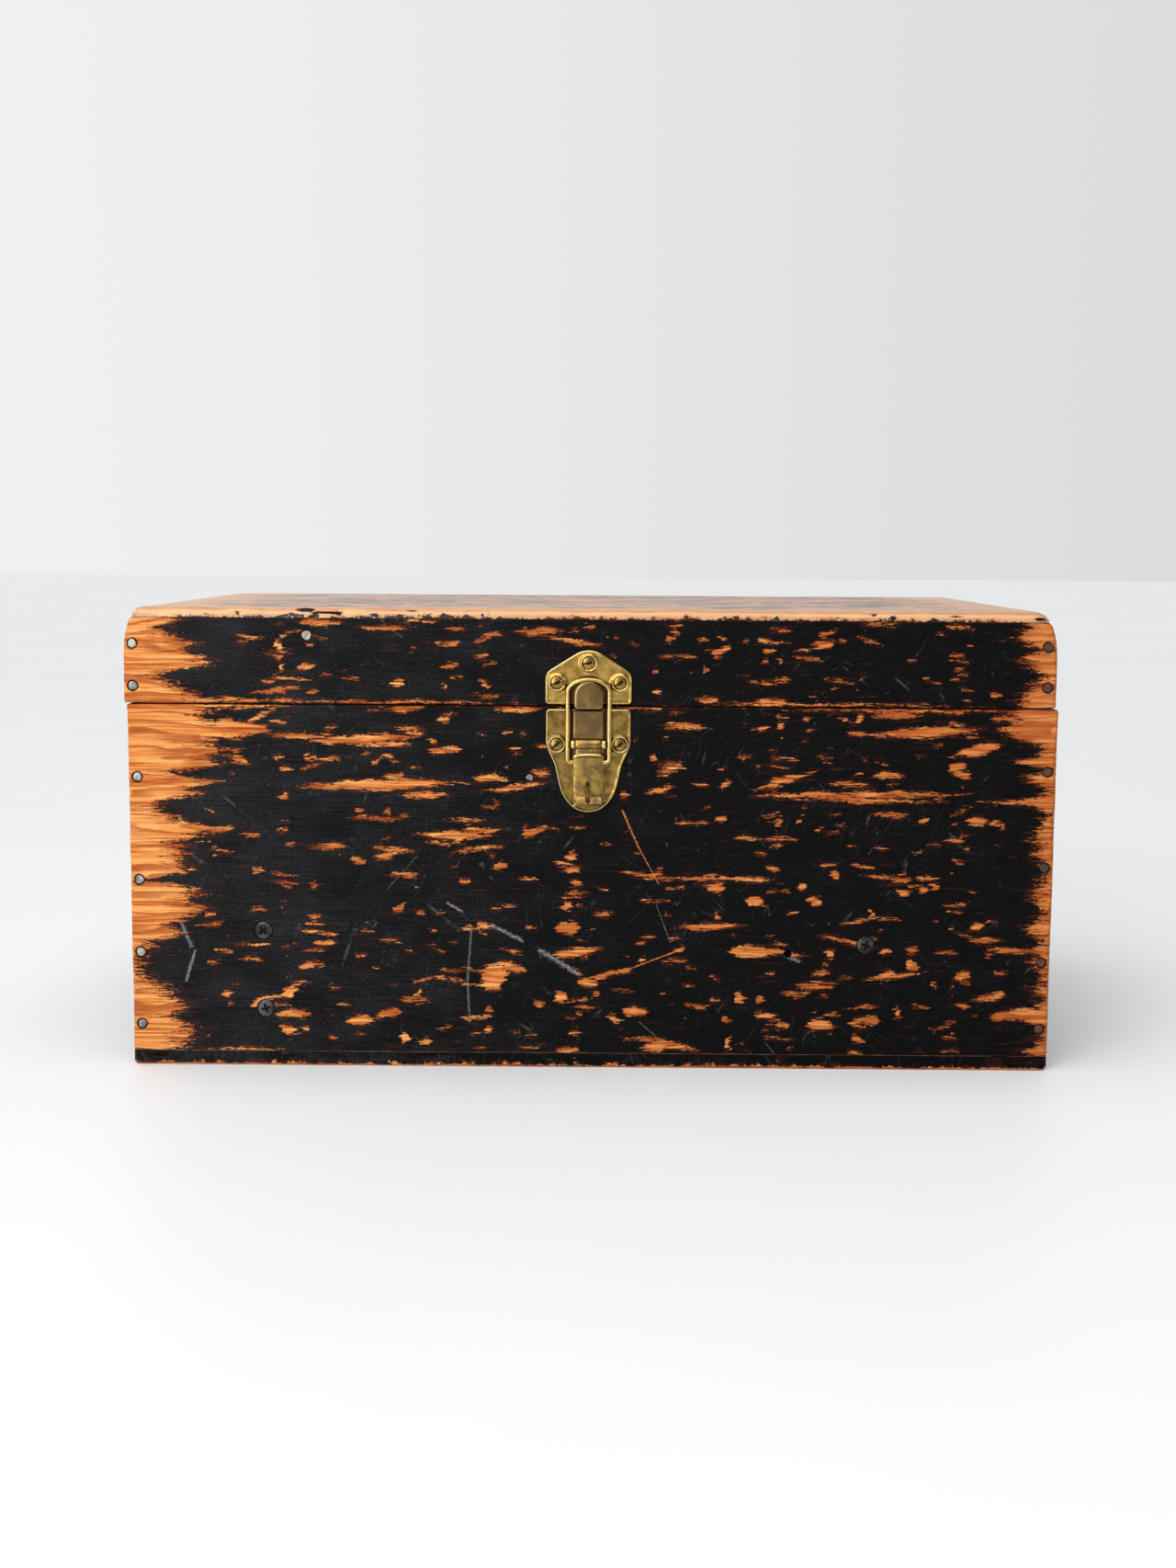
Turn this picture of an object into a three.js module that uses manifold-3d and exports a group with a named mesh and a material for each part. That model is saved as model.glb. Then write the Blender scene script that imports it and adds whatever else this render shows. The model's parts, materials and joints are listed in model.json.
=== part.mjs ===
// Tabernacle box: a painted plywood chest with a hinged lid and a brass draw latch that takes a padlock.
// Millimetres, +Z up, front towards -Y. The origin is the centre of the carcass's underside.

import * as THREE from 'three';
import { mergeVertices } from 'three/addons/utils/BufferGeometryUtils.js';
import Module from 'manifold-3d';

const wasm = await Module();
wasm.setup();

// Carcass
const WIDTH = 508;
const DEPTH = 305;
const HEIGHT = 254;
const WALL = 12.7;
const BOTTOM_SHEET = 8;
const TOP_SHEET = 5.6;
const SEAM = 201.4; // height of the joint between base and lid
const SEAM_GAP = 0.8;
const GLUE_LINE = 0.2;
const LID_SHIFT = -1.5; // the worn hinges let the lid sit a little to one side
const TOP_ROUNDING = 3;
const FRONT = -DEPTH / 2;
const BACK = DEPTH / 2;
const CLEARANCE = 0.3; // around every fastener and pin

// Fasteners
const NAIL = { headRadius: 2.75, headDepth: 1.1, shankRadius: 1.25, length: 36 };
const NAIL_INSET = 5;
const BASE_NAILS_LEFT = [23, 63.5, 104, 161];
const BASE_NAILS_RIGHT = [23.5, 61, 114, 167];
const LID_NAILS_LEFT = [211, 234];
const LID_NAILS_RIGHT = [213, 235];
const CLEAT_SCREW = { headRadius: 5, headDepth: 3, shankRadius: 2.1, length: 26, drive: 'cross' };
const LATCH_SCREW = { headRadius: 3.35, headDepth: 1.6, shankRadius: 1.5, length: 12, drive: 'slot' };
const HINGE_SCREW = { headRadius: 3.2, headDepth: 1.5, shankRadius: 1.5, length: 11, drive: 'cross' };
const EMPTY_HOLE = { x: 109, z: 65, radius: 2 };
const FASTENER_SIDES = 10;

// Battens inside the front wall, and the screws that hold them
const CLEAT = 19;
const LEFT_CLEAT = { x: [-190, -190 + CLEAT], z: [10, 98] };
const RIGHT_CLEAT = { x: [92, 172], z: [68 - CLEAT / 2, 68 + CLEAT / 2] };
const LEFT_CLEAT_SCREWS = [{ x: -180, z: 32 }, { x: -181, z: 76 }];
const RIGHT_CLEAT_SCREW = { x: 152, z: 70 };

// Latch, in its own frame: x to the right, y up from the seam, z outwards from the front face
const LATCH_X = -2;
const PLATE = { back: 0.3, front: 1.9 };
const DIMPLE = { radius: 5, front: 2.7 };
const KEEPER = { half: 23.8, bottom: 1, shoulder: 18.6, apexCentre: 16.3, apexRadius: 14.4 };
const KEEPER_SCREWS = [[0, 23.6], [-17.1, 12.8], [17.1, 12.8]];
const NOSE = { half: 7.95, bottom: -1.2, archCentre: 4.95, back: 2.4, front: 8 };
const BASE_PLATE = { half: 23.5, top: -1.2, shoulder: -22.5 };
const BASE_PLATE_SCREWS = [[-17.2, -20.8], [17.2, -20.8]];
const BRIDGE = { half: 8.15, top: -2, bottom: -17.4, front: 4.4 };
const PIVOT = { y: -20.5, z: 5, radius: 1.1 };
const EAR = { inner: 7.6, outer: 9.4, radius: 3 };
const LEVER = {
  half: 8.3,
  neckHalf: 7.3,
  neckEnd: -25.8,
  lip: -47, // where the flare begins
  tip: -53.6,
  sheet: 1.2,
  front: 6.8,
  back: 2.3,
  knuckle: 2.5,
};
const SLOT = { half: 1.45, top: -40.3, bottom: -52.4 };
const STAPLE = { centre: -46.9, half: 5.1, bar: 1.9, width: 1.8, straight: 10.05, back: 0.5 };
const BAIL = {
  pivotY: -30.3,
  z: 4.3,
  half: 11.3,
  wire: 1.25,
  archCentre: 8.3,
  archRise: 6.2,
  innerEnd: 6.4,
};

// Rear butt hinges
const HINGE_X = [-160, 160];
const HINGE = {
  length: 76,
  pinStandoff: 4.6,
  knuckleRadius: 3.5,
  pinRadius: 1.5,
  leaf: 1.8,
  leafWidth: 26,
};
const KNUCKLES = 5;
const KNUCKLE_GAP = 0.5;
const HINGE_SCREW_X = [-27, 0, 27];
const HINGE_SCREW_RISE = 17;

const material = (color, roughness, metalness) =>
  new THREE.MeshStandardMaterial({ color, roughness, metalness });
const blackPaint = material(0x262322, 0.5, 0);
const rawWood = material(0xb98a58, 0.75, 0);
const agedBrass = material(0x8d7440, 0.38, 1);
const dullSteel = material(0x7d7a76, 0.5, 1);
const blackSteel = material(0x1b1b1d, 0.45, 0.8);

const group = new THREE.Group();

function solid(geometry) {
  const bare = geometry.clone();
  bare.deleteAttribute('normal');
  bare.deleteAttribute('uv');
  const merged = mergeVertices(bare, 1e-4);
  const vertProperties = new Float32Array(merged.attributes.position.array);
  const triVerts = new Uint32Array(merged.index.array);
  return new wasm.Manifold(new wasm.Mesh({ numProp: 3, vertProperties, triVerts }));
}

function geometryOf(body) {
  const { vertProperties, triVerts } = body.getMesh();
  const geometry = new THREE.BufferGeometry();
  geometry.setAttribute('position', new THREE.BufferAttribute(vertProperties, 3));
  geometry.setIndex(new THREE.BufferAttribute(triVerts, 1));
  return geometry;
}

const join = (first, ...others) => others.reduce((sum, other) => sum.add(other), first);
const cut = (first, ...others) => others.reduce((rest, other) => rest.subtract(other), first);

function addMesh(name, body, finish, parent = group, place = [0, 0, 0]) {
  const mesh = new THREE.Mesh(geometryOf(body), finish);
  mesh.name = name;
  mesh.position.set(...place);
  parent.add(mesh);
  return mesh;
}

function block([x0, x1], [y0, y1], [z0, z1]) {
  const box = new THREE.BoxGeometry(x1 - x0, y1 - y0, z1 - z0);
  return solid(box.translate((x0 + x1) / 2, (y0 + y1) / 2, (z0 + z1) / 2));
}

// A turned solid about the Y axis; the profile's [radius, y] points run towards +Y.
function turned(profile, sides) {
  const points = profile.map(([radius, y]) => new THREE.Vector2(radius, y));
  return new THREE.LatheGeometry(points, sides);
}

function rodAlongX(radius, x0, x1, y, z, sides = 12) {
  const rod = new THREE.CylinderGeometry(radius, radius, x1 - x0, sides);
  return solid(rod.rotateZ(Math.PI / 2).translate((x0 + x1) / 2, y, z));
}

function rodAlongZ(radius, x, y, z0, z1, sides = 16) {
  const rod = new THREE.CylinderGeometry(radius, radius, z1 - z0, sides);
  return solid(rod.rotateX(Math.PI / 2).translate(x, y, (z0 + z1) / 2));
}

// ---- Fasteners: each points along +Y, with its head's rim at y = 0 ----

function nailShape({ headRadius, headDepth, shankRadius, length }) {
  const tip = 4;
  const profile = [[0, 0], [headRadius, 0.1], [headRadius, headDepth], [shankRadius, headDepth]];
  return solid(turned([...profile, [shankRadius, length - tip], [0, length]], FASTENER_SIDES));
}

function nailHole({ headRadius, headDepth, shankRadius, length }) {
  const head = headRadius + CLEARANCE;
  const shank = shankRadius + CLEARANCE;
  const profile = [[0, -1], [head, -1], [head, headDepth + CLEARANCE], [shank, headDepth + CLEARANCE]];
  return turned([...profile, [shank, length + 1], [0, length + 1]], FASTENER_SIDES);
}

function screwShape({ headRadius, headDepth, shankRadius, length, drive }) {
  const tip = 4;
  const profile = [[0, 0], [headRadius, 0.05], [headRadius, 0.5], [shankRadius, headDepth + 0.5]];
  const screw = solid(turned([...profile, [shankRadius, length - tip], [0, length]], FASTENER_SIDES));
  const slotDepth = headDepth * 0.45;
  if (drive === 'slot') {
    return cut(screw, block([-headRadius - 1, headRadius + 1], [-1, slotDepth], [-0.45, 0.45]));
  }
  const arm = headRadius * 0.55;
  const across = block([-arm, arm], [-1, slotDepth], [-0.55, 0.55]);
  const upright = block([-0.55, 0.55], [-1, slotDepth], [-arm, arm]);
  return cut(screw, across, upright);
}

function screwHole({ headRadius, headDepth, shankRadius, length }) {
  const head = headRadius + CLEARANCE;
  const shank = shankRadius + CLEARANCE;
  const profile = [[0, -3], [head, -3], [head, 0.5 + CLEARANCE], [shank, headDepth + 0.5 + CLEARANCE]];
  return turned([...profile, [shank, length + 1], [0, length + 1]], FASTENER_SIDES);
}

const frontHole = (hole, x, z, proud = 0) => solid(hole.clone().translate(x, FRONT - proud, z));
const rearHole = (hole, x, z, proud = 0) =>
  solid(hole.clone().rotateZ(Math.PI).translate(x, BACK + proud, z));

// ---- Where the fasteners go ----

const nailX = WIDTH / 2 - NAIL_INSET;
const nailPlaces = {
  base_nail_left: BASE_NAILS_LEFT.map((z) => [-nailX, z]),
  base_nail_right: BASE_NAILS_RIGHT.map((z) => [nailX, z]),
  lid_nail_left: LID_NAILS_LEFT.map((z) => [LID_SHIFT - nailX, z]),
  lid_nail_right: LID_NAILS_RIGHT.map((z) => [LID_SHIFT + nailX, z]),
};
const nailHoles = (...names) => names.flatMap((name) =>
  nailPlaces[name].map(([x, z]) => frontHole(nailHole(NAIL), x, z)));
const cleatScrewHoles = (places) => places.map(({ x, z }) => frontHole(screwHole(CLEAT_SCREW), x, z));
const latchScrewHoles = (places) => places.map(([x, y]) =>
  frontHole(screwHole(LATCH_SCREW), LATCH_X + x, SEAM + y, DIMPLE.front));
const hingeScrewProud = GLUE_LINE + HINGE.leaf;
const hingeScrewHoles = (z) => HINGE_X.flatMap((hingeX) => HINGE_SCREW_X.map((x) =>
  rearHole(screwHole(HINGE_SCREW), hingeX + x, z, hingeScrewProud)));
const baseHingeScrewZ = SEAM - HINGE_SCREW_RISE;
const lidHingeScrewZ = SEAM + HINGE_SCREW_RISE;

// ---- Carcass ----

// Four walls between two heights: front and back lap over the ends of the sides.
function addWalls(prefix, middleX, [z0, z1], frontHoles, backHoles, sideHoles) {
  const left = middleX - WIDTH / 2;
  const right = middleX + WIDTH / 2;
  const sideSpan = [FRONT + WALL + GLUE_LINE, BACK - WALL - GLUE_LINE];
  const front = block([left, right], [FRONT, FRONT + WALL], [z0, z1]);
  const back = block([left, right], [BACK - WALL, BACK], [z0, z1]);
  addMesh(`${prefix}_front`, cut(front, ...frontHoles), blackPaint);
  addMesh(`${prefix}_back`, cut(back, ...backHoles), blackPaint);
  const leftSide = block([left, left + WALL], sideSpan, [z0, z1]);
  const rightSide = block([right - WALL, right], sideSpan, [z0, z1]);
  addMesh(`${prefix}_left`, cut(leftSide, ...sideHoles), blackPaint);
  addMesh(`${prefix}_right`, cut(rightSide, ...sideHoles), blackPaint);
}

function addBase() {
  const emptyHoleDepth = WALL - 1;
  const emptyHole = rodAlongZ(EMPTY_HOLE.radius, 0, 0, -emptyHoleDepth, 1, 12);
  const screwsInFront = [
    ...cleatScrewHoles([...LEFT_CLEAT_SCREWS, RIGHT_CLEAT_SCREW]),
    ...latchScrewHoles(BASE_PLATE_SCREWS),
  ];
  const nails = nailHoles('base_nail_left', 'base_nail_right');
  const bored = emptyHole.rotate([90, 0, 0]).translate([EMPTY_HOLE.x, FRONT, EMPTY_HOLE.z]);
  const underside = block([-WIDTH / 2, WIDTH / 2], [FRONT, BACK], [0, BOTTOM_SHEET]);
  const height = [BOTTOM_SHEET + GLUE_LINE, SEAM - SEAM_GAP / 2];
  addMesh('bottom_panel', underside, blackPaint);
  addWalls('base', 0, height, [...nails, ...screwsInFront, bored], hingeScrewHoles(baseHingeScrewZ), nails);
}

function addLid() {
  const top = HEIGHT - TOP_SHEET;
  const nails = nailHoles('lid_nail_left', 'lid_nail_right');
  const latchHoles = latchScrewHoles(KEEPER_SCREWS);
  const height = [SEAM + SEAM_GAP / 2, top - GLUE_LINE];
  addWalls('lid', LID_SHIFT, height, [...nails, ...latchHoles], hingeScrewHoles(lidHingeScrewZ), nails);
  addMesh('lid_top', roundedSheet(TOP_SHEET, TOP_ROUNDING), blackPaint, group, [LID_SHIFT, 0, top]);
}

// A sheet whose upper edges and upright corners are rounded over; its underside is at z = 0.
function roundedSheet(thickness, rounding) {
  const outline = roundedOutline([
    [-WIDTH / 2, FRONT], [WIDTH / 2, FRONT], [WIDTH / 2, BACK], [-WIDTH / 2, BACK],
  ], 2 * rounding);
  const sheet = plateFrom(outline, -rounding, thickness, rounding, 3);
  return cut(sheet, block([-WIDTH, WIDTH], [-DEPTH, DEPTH], [-2 * rounding, 0]));
}

function addCleats() {
  const inside = FRONT + WALL + GLUE_LINE;
  const depth = [inside, inside + CLEAT];
  const left = block(LEFT_CLEAT.x, depth, LEFT_CLEAT.z);
  const right = block(RIGHT_CLEAT.x, depth, RIGHT_CLEAT.z);
  addMesh('left_cleat', cut(left, ...cleatScrewHoles(LEFT_CLEAT_SCREWS)), rawWood);
  addMesh('right_cleat', cut(right, ...cleatScrewHoles([RIGHT_CLEAT_SCREW])), rawWood);
}

function addWoodFasteners() {
  for (const [name, places] of Object.entries(nailPlaces)) {
    places.forEach(([x, z], index) => {
      addMesh(`${name}_${index + 1}`, nailShape(NAIL), dullSteel, group, [x, FRONT, z]);
    });
  }
  const [lower, upper] = LEFT_CLEAT_SCREWS;
  const cleatScrews = { left_lower: lower, left_upper: upper, right: RIGHT_CLEAT_SCREW };
  for (const [name, { x, z }] of Object.entries(cleatScrews)) {
    addMesh(`cleat_screw_${name}`, screwShape(CLEAT_SCREW), blackSteel, group, [x, FRONT, z]);
  }
}

// ---- Outlines and plates ----

// A closed outline through the corners, each rounded off by the same distance.
function roundedOutline(corners, rounding) {
  const shape = new THREE.Shape();
  const points = corners.map(([x, y]) => new THREE.Vector2(x, y));
  points.forEach((corner, index) => {
    const before = points[(index + points.length - 1) % points.length];
    const after = points[(index + 1) % points.length];
    const start = corner.clone().add(before.clone().sub(corner).setLength(rounding));
    const end = corner.clone().add(after.clone().sub(corner).setLength(rounding));
    if (index === 0) {
      shape.moveTo(start.x, start.y);
    } else {
      shape.lineTo(start.x, start.y);
    }
    shape.quadraticCurveTo(corner.x, corner.y, end.x, end.y);
  });
  shape.closePath();
  return shape;
}

// A flat plate of a shape between two heights, with rounded rims.
function plateFrom(shape, z0, z1, rim, rimSteps = 1, curveSegments = 4) {
  const options = {
    depth: z1 - z0 - 2 * rim,
    bevelEnabled: rim > 0,
    bevelThickness: rim,
    bevelSize: rim,
    bevelOffset: -rim,
    bevelSegments: rimSteps,
    curveSegments,
  };
  return solid(new THREE.ExtrudeGeometry(shape, options).translate(0, 0, z0 + rim));
}

// A side profile, drawn as (y, z), extruded between two places along X.
function acrossX(shape, x0, x1) {
  const options = { depth: x1 - x0, bevelEnabled: false, curveSegments: 6 };
  const geometry = new THREE.ExtrudeGeometry(shape, options);
  const turn = new THREE.Matrix4().makeBasis(
    new THREE.Vector3(0, 1, 0), new THREE.Vector3(0, 0, 1), new THREE.Vector3(1, 0, 0));
  return solid(geometry.applyMatrix4(turn).translate(x0, 0, 0));
}

// ---- Draw latch ----

const latch = new THREE.Group();
latch.position.set(LATCH_X, FRONT, SEAM);
latch.rotation.x = Math.PI / 2;
group.add(latch);

const dimples = (places) => places.map(([x, y]) => rodAlongZ(DIMPLE.radius, x, y, 1, DIMPLE.front));
const plateHoles = (places) => places.map(([x, y]) =>
  solid(screwHole(LATCH_SCREW).rotateX(-Math.PI / 2).translate(x, y, DIMPLE.front)));

function keeperOutline() {
  const { half, bottom, shoulder, apexCentre, apexRadius } = KEEPER;
  const corner = 2.5;
  const shape = new THREE.Shape();
  shape.moveTo(-half + corner, bottom);
  shape.lineTo(half - corner, bottom);
  shape.quadraticCurveTo(half, bottom, half, bottom + corner);
  shape.lineTo(half, shoulder - corner);
  shape.quadraticCurveTo(half, shoulder, half - corner * 0.87, shoulder + corner * 0.49);
  shape.absarc(0, apexCentre, apexRadius, Math.PI / 3, (2 * Math.PI) / 3, false);
  shape.lineTo(-half + corner * 0.87, shoulder + corner * 0.49);
  shape.quadraticCurveTo(-half, shoulder, -half, shoulder - corner);
  shape.lineTo(-half, bottom + corner);
  shape.quadraticCurveTo(-half, bottom, -half + corner, bottom);
  return shape;
}

function arched(half, bottom, archCentre) {
  const shape = new THREE.Shape();
  shape.moveTo(-half, bottom);
  shape.lineTo(half, bottom);
  shape.lineTo(half, archCentre);
  shape.absarc(0, archCentre, half, 0, Math.PI, false);
  shape.lineTo(-half, bottom);
  return shape;
}

function addKeeper() {
  const { half, bottom, archCentre, back, front } = NOSE;
  const plate = plateFrom(keeperOutline(), PLATE.back, PLATE.front, 0.5, 1, 6);
  const nose = plateFrom(arched(half, bottom, archCentre), back, front, 1.5, 2, 10);
  const foot = plateFrom(arched(half - 1, KEEPER.bottom + 0.5, archCentre), 1, back + 2, 0, 1, 10);
  const body = cut(join(plate, nose, foot, ...dimples(KEEPER_SCREWS)), ...plateHoles(KEEPER_SCREWS));
  addMesh('keeper_plate', body, agedBrass, latch);
}

function basePlateOutline() {
  const { half, top, shoulder } = BASE_PLATE;
  const corner = 2.5;
  const lower = [[18.2, -33], [16, -45], [12.5, -52.5], [7, -57], [0, -58.5]];
  const mirrored = lower.slice(0, -1).reverse().map(([x, y]) => [-x, y]);
  const points = [...lower, ...mirrored, [-half, shoulder]].map(([x, y]) => new THREE.Vector2(x, y));
  const shape = new THREE.Shape();
  shape.moveTo(-half, top - corner);
  shape.quadraticCurveTo(-half, top, -half + corner, top);
  shape.lineTo(half - corner, top);
  shape.quadraticCurveTo(half, top, half, top - corner);
  shape.lineTo(half, shoulder);
  shape.splineThru(points);
  shape.lineTo(-half, top - corner);
  return shape;
}

function ear(side) {
  const x = side < 0 ? [-EAR.outer, -EAR.inner] : [EAR.inner, EAR.outer];
  const web = block(x, [PIVOT.y - EAR.radius, PIVOT.y + EAR.radius], [1, PIVOT.z]);
  return join(web, rodAlongX(EAR.radius, ...x, PIVOT.y, PIVOT.z, 20));
}

function addBasePlate() {
  const { half, top, bottom, front } = BRIDGE;
  const plate = plateFrom(basePlateOutline(), PLATE.back, PLATE.front, 0.5, 1, 3);
  const corners = [[-half, bottom], [half, bottom], [half, top], [-half, top]];
  const bridge = plateFrom(roundedOutline(corners, 1.5), 0.9, front, 0.8, 2, 3);
  const raised = join(plate, bridge, ear(-1), ear(1), ...dimples(BASE_PLATE_SCREWS));
  const pinHole = rodAlongX(PIVOT.radius + CLEARANCE, -20, 20, PIVOT.y, PIVOT.z);
  const reach = STAPLE.half + CLEARANCE;
  const legWidth = STAPLE.width / 2 + CLEARANCE;
  const legSlot = (y0, y1) => block([-legWidth, legWidth], [y0, y1], [-1, 3]);
  const slots = [
    legSlot(STAPLE.centre - reach, STAPLE.centre - reach + STAPLE.bar + 2 * CLEARANCE),
    legSlot(STAPLE.centre + reach - STAPLE.bar - 2 * CLEARANCE, STAPLE.centre + reach),
  ];
  const body = cut(raised, pinHole, ...slots, ...plateHoles(BASE_PLATE_SCREWS));
  addMesh('latch_base_plate', body, agedBrass, latch);
  addMesh('latch_pivot_pin', rodAlongX(PIVOT.radius, -9.3, 9.3, PIVOT.y, PIVOT.z), agedBrass, latch);
}

// The padlock eye: an arch of flat bar that stands through the lever's slot.
function addStaple() {
  const { centre, half, bar, width, straight, back } = STAPLE;
  const shape = new THREE.Shape();
  shape.moveTo(centre - half, back);
  shape.lineTo(centre - half + bar, back);
  shape.lineTo(centre - half + bar, straight);
  shape.absarc(centre, straight, half - bar, Math.PI, 0, true);
  shape.lineTo(centre + half - bar, back);
  shape.lineTo(centre + half, back);
  shape.lineTo(centre + half, straight);
  shape.absarc(centre, straight, half, 0, Math.PI, false);
  shape.lineTo(centre - half, back);
  addMesh('padlock_staple', acrossX(shape, -width / 2, width / 2), agedBrass, latch);
}

// A channel of sheet: a neck and knuckle round the pin, a face with two flanges, and a flared lip to pull.
function addLever() {
  const { half, neckHalf, neckEnd, lip, tip, sheet, front, back, knuckle } = LEVER;
  const face = new THREE.Shape();
  face.moveTo(neckEnd, front);
  face.lineTo(neckEnd, front - sheet);
  face.lineTo(lip, front - sheet);
  face.quadraticCurveTo(tip + 2.2, front - sheet, tip, front + 2.2);
  face.lineTo(tip + 0.9, front + 3);
  face.quadraticCurveTo(tip + 2.7, front, lip, front);
  face.lineTo(neckEnd, front);
  const neck = block([-neckHalf, neckHalf], [neckEnd - 0.5, PIVOT.y], [front - 2.2, front]);
  const flange = (x0) => block([x0, x0 + sheet], [lip - 0.5, neckEnd], [back, front - 0.4]);
  const body = join(
    acrossX(face, -half, half), neck, flange(-half), flange(half - sheet),
    rodAlongX(knuckle, -neckHalf, neckHalf, PIVOT.y, PIVOT.z, 20),
  );
  const pinHole = rodAlongX(PIVOT.radius + CLEARANCE, -20, 20, PIVOT.y, PIVOT.z);
  const bailHole = rodAlongX(BAIL.wire + CLEARANCE, -20, 20, BAIL.pivotY, BAIL.z);
  const slot = block([-SLOT.half, SLOT.half], [SLOT.bottom, SLOT.top], [0, 20]);
  addMesh('latch_lever', cut(body, pinHole, bailHole, slot), agedBrass, latch);
}

// A wire loop: an arch over the keeper's nose, two legs, and ends bent inwards into the lever's flanges.
function addBail() {
  const { pivotY, z, half, wire, archCentre, archRise, innerEnd } = BAIL;
  const sides = 8;
  const arc = [];
  const arcSteps = 14;
  for (let step = 0; step <= arcSteps; step += 1) {
    const angle = (Math.PI * step) / arcSteps;
    arc.push(new THREE.Vector3(half * Math.cos(angle), archCentre + archRise * Math.sin(angle), z));
  }
  const section = new THREE.Shape().absarc(0, 0, wire, 0, 2 * Math.PI, false);
  const path = new THREE.CatmullRomCurve3(arc);
  const options = { steps: arcSteps, extrudePath: path, curveSegments: sides / 2 };
  const arch = new THREE.ExtrudeGeometry(section, options);
  const leg = (x) => solid(new THREE.CylinderGeometry(wire, wire, archCentre - pivotY + 0.1, sides)
    .translate(x, (archCentre + pivotY + 0.1) / 2, z));
  const elbow = (x) => solid(new THREE.SphereGeometry(wire, sides, 6).translate(x, pivotY, z));
  const end = (x0, x1) => rodAlongX(wire, x0, x1, pivotY, z, sides);
  const body = join(
    solid(arch),
    leg(-half),
    leg(half),
    elbow(-half),
    elbow(half),
    end(-half, -innerEnd),
    end(innerEnd, half),
  );
  addMesh('latch_bail', body, agedBrass, latch);
}

function addLatchScrews() {
  const places = {
    keeper_screw_top: KEEPER_SCREWS[0],
    keeper_screw_left: KEEPER_SCREWS[1],
    keeper_screw_right: KEEPER_SCREWS[2],
    base_plate_screw_left: BASE_PLATE_SCREWS[0],
    base_plate_screw_right: BASE_PLATE_SCREWS[1],
  };
  for (const [name, [x, y]] of Object.entries(places)) {
    const place = [LATCH_X + x, FRONT - DIMPLE.front, SEAM + y];
    addMesh(name, screwShape(LATCH_SCREW), agedBrass, group, place);
  }
}

// ---- Rear hinges, in a frame whose origin is the pin's middle: x along the pin, y out of the back ----

const knuckleLength = HINGE.length / KNUCKLES;

function leafShape(up) {
  const { length, pinStandoff, knuckleRadius, leaf, leafWidth } = HINGE;
  const y0 = GLUE_LINE - pinStandoff;
  const y1 = y0 + leaf;
  const span = (z0, z1) => (up ? [z0, z1] : [-z1, -z0]);
  const plate = block([-length / 2, length / 2], [y0, y1], span(knuckleRadius + 0.9, leafWidth));
  const pieces = [];
  for (let index = up ? 1 : 0; index < KNUCKLES; index += 2) {
    const x0 = -length / 2 + index * knuckleLength + KNUCKLE_GAP / 2;
    const x1 = x0 + knuckleLength - KNUCKLE_GAP;
    pieces.push(rodAlongX(knuckleRadius, x0, x1, 0, 0));
    pieces.push(block([x0, x1], [y0, y1], span(0, knuckleRadius + 1.5)));
  }
  const bore = rodAlongX(HINGE.pinRadius + CLEARANCE, -length, length, 0, 0);
  const rise = up ? HINGE_SCREW_RISE : -HINGE_SCREW_RISE;
  const holes = HINGE_SCREW_X.map((x) =>
    solid(screwHole(HINGE_SCREW).rotateZ(Math.PI).translate(x, y1, rise)));
  return cut(join(plate, ...pieces), bore, ...holes);
}

function addHinges() {
  const pinY = BACK + HINGE.pinStandoff;
  HINGE_X.forEach((hingeX, index) => {
    const side = index === 0 ? 'left' : 'right';
    const place = [hingeX, pinY, SEAM];
    addMesh(`${side}_hinge_base_leaf`, leafShape(false), dullSteel, group, place);
    addMesh(`${side}_hinge_lid_leaf`, leafShape(true), dullSteel, group, place);
    const pin = rodAlongX(HINGE.pinRadius, -HINGE.length / 2 - 1.5, HINGE.length / 2 + 1.5, 0, 0);
    addMesh(`${side}_hinge_pin`, pin, dullSteel, group, place);
    HINGE_SCREW_X.forEach((x, number) => {
      addHingeScrew(`${side}_hinge_base_screw_${number + 1}`, hingeX + x, baseHingeScrewZ);
      addHingeScrew(`${side}_hinge_lid_screw_${number + 1}`, hingeX + x, lidHingeScrewZ);
    });
  });
}

function addHingeScrew(name, x, z) {
  const screw = addMesh(name, screwShape(HINGE_SCREW), dullSteel, group, [x, BACK + hingeScrewProud, z]);
  screw.rotation.z = Math.PI;
}

addBase();
addLid();
addCleats();
addWoodFasteners();
addKeeper();
addBasePlate();
addStaple();
addLever();
addBail();
addLatchScrews();
addHinges();

export default group;
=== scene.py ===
"""Tabernacle box: a worn, black-painted plywood chest with a brass draw latch.

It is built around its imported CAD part. Lengths in this script are millimetres until make_mesh() turns them
into metres; lights and the camera are placed in metres."""
import json
import math

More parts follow.
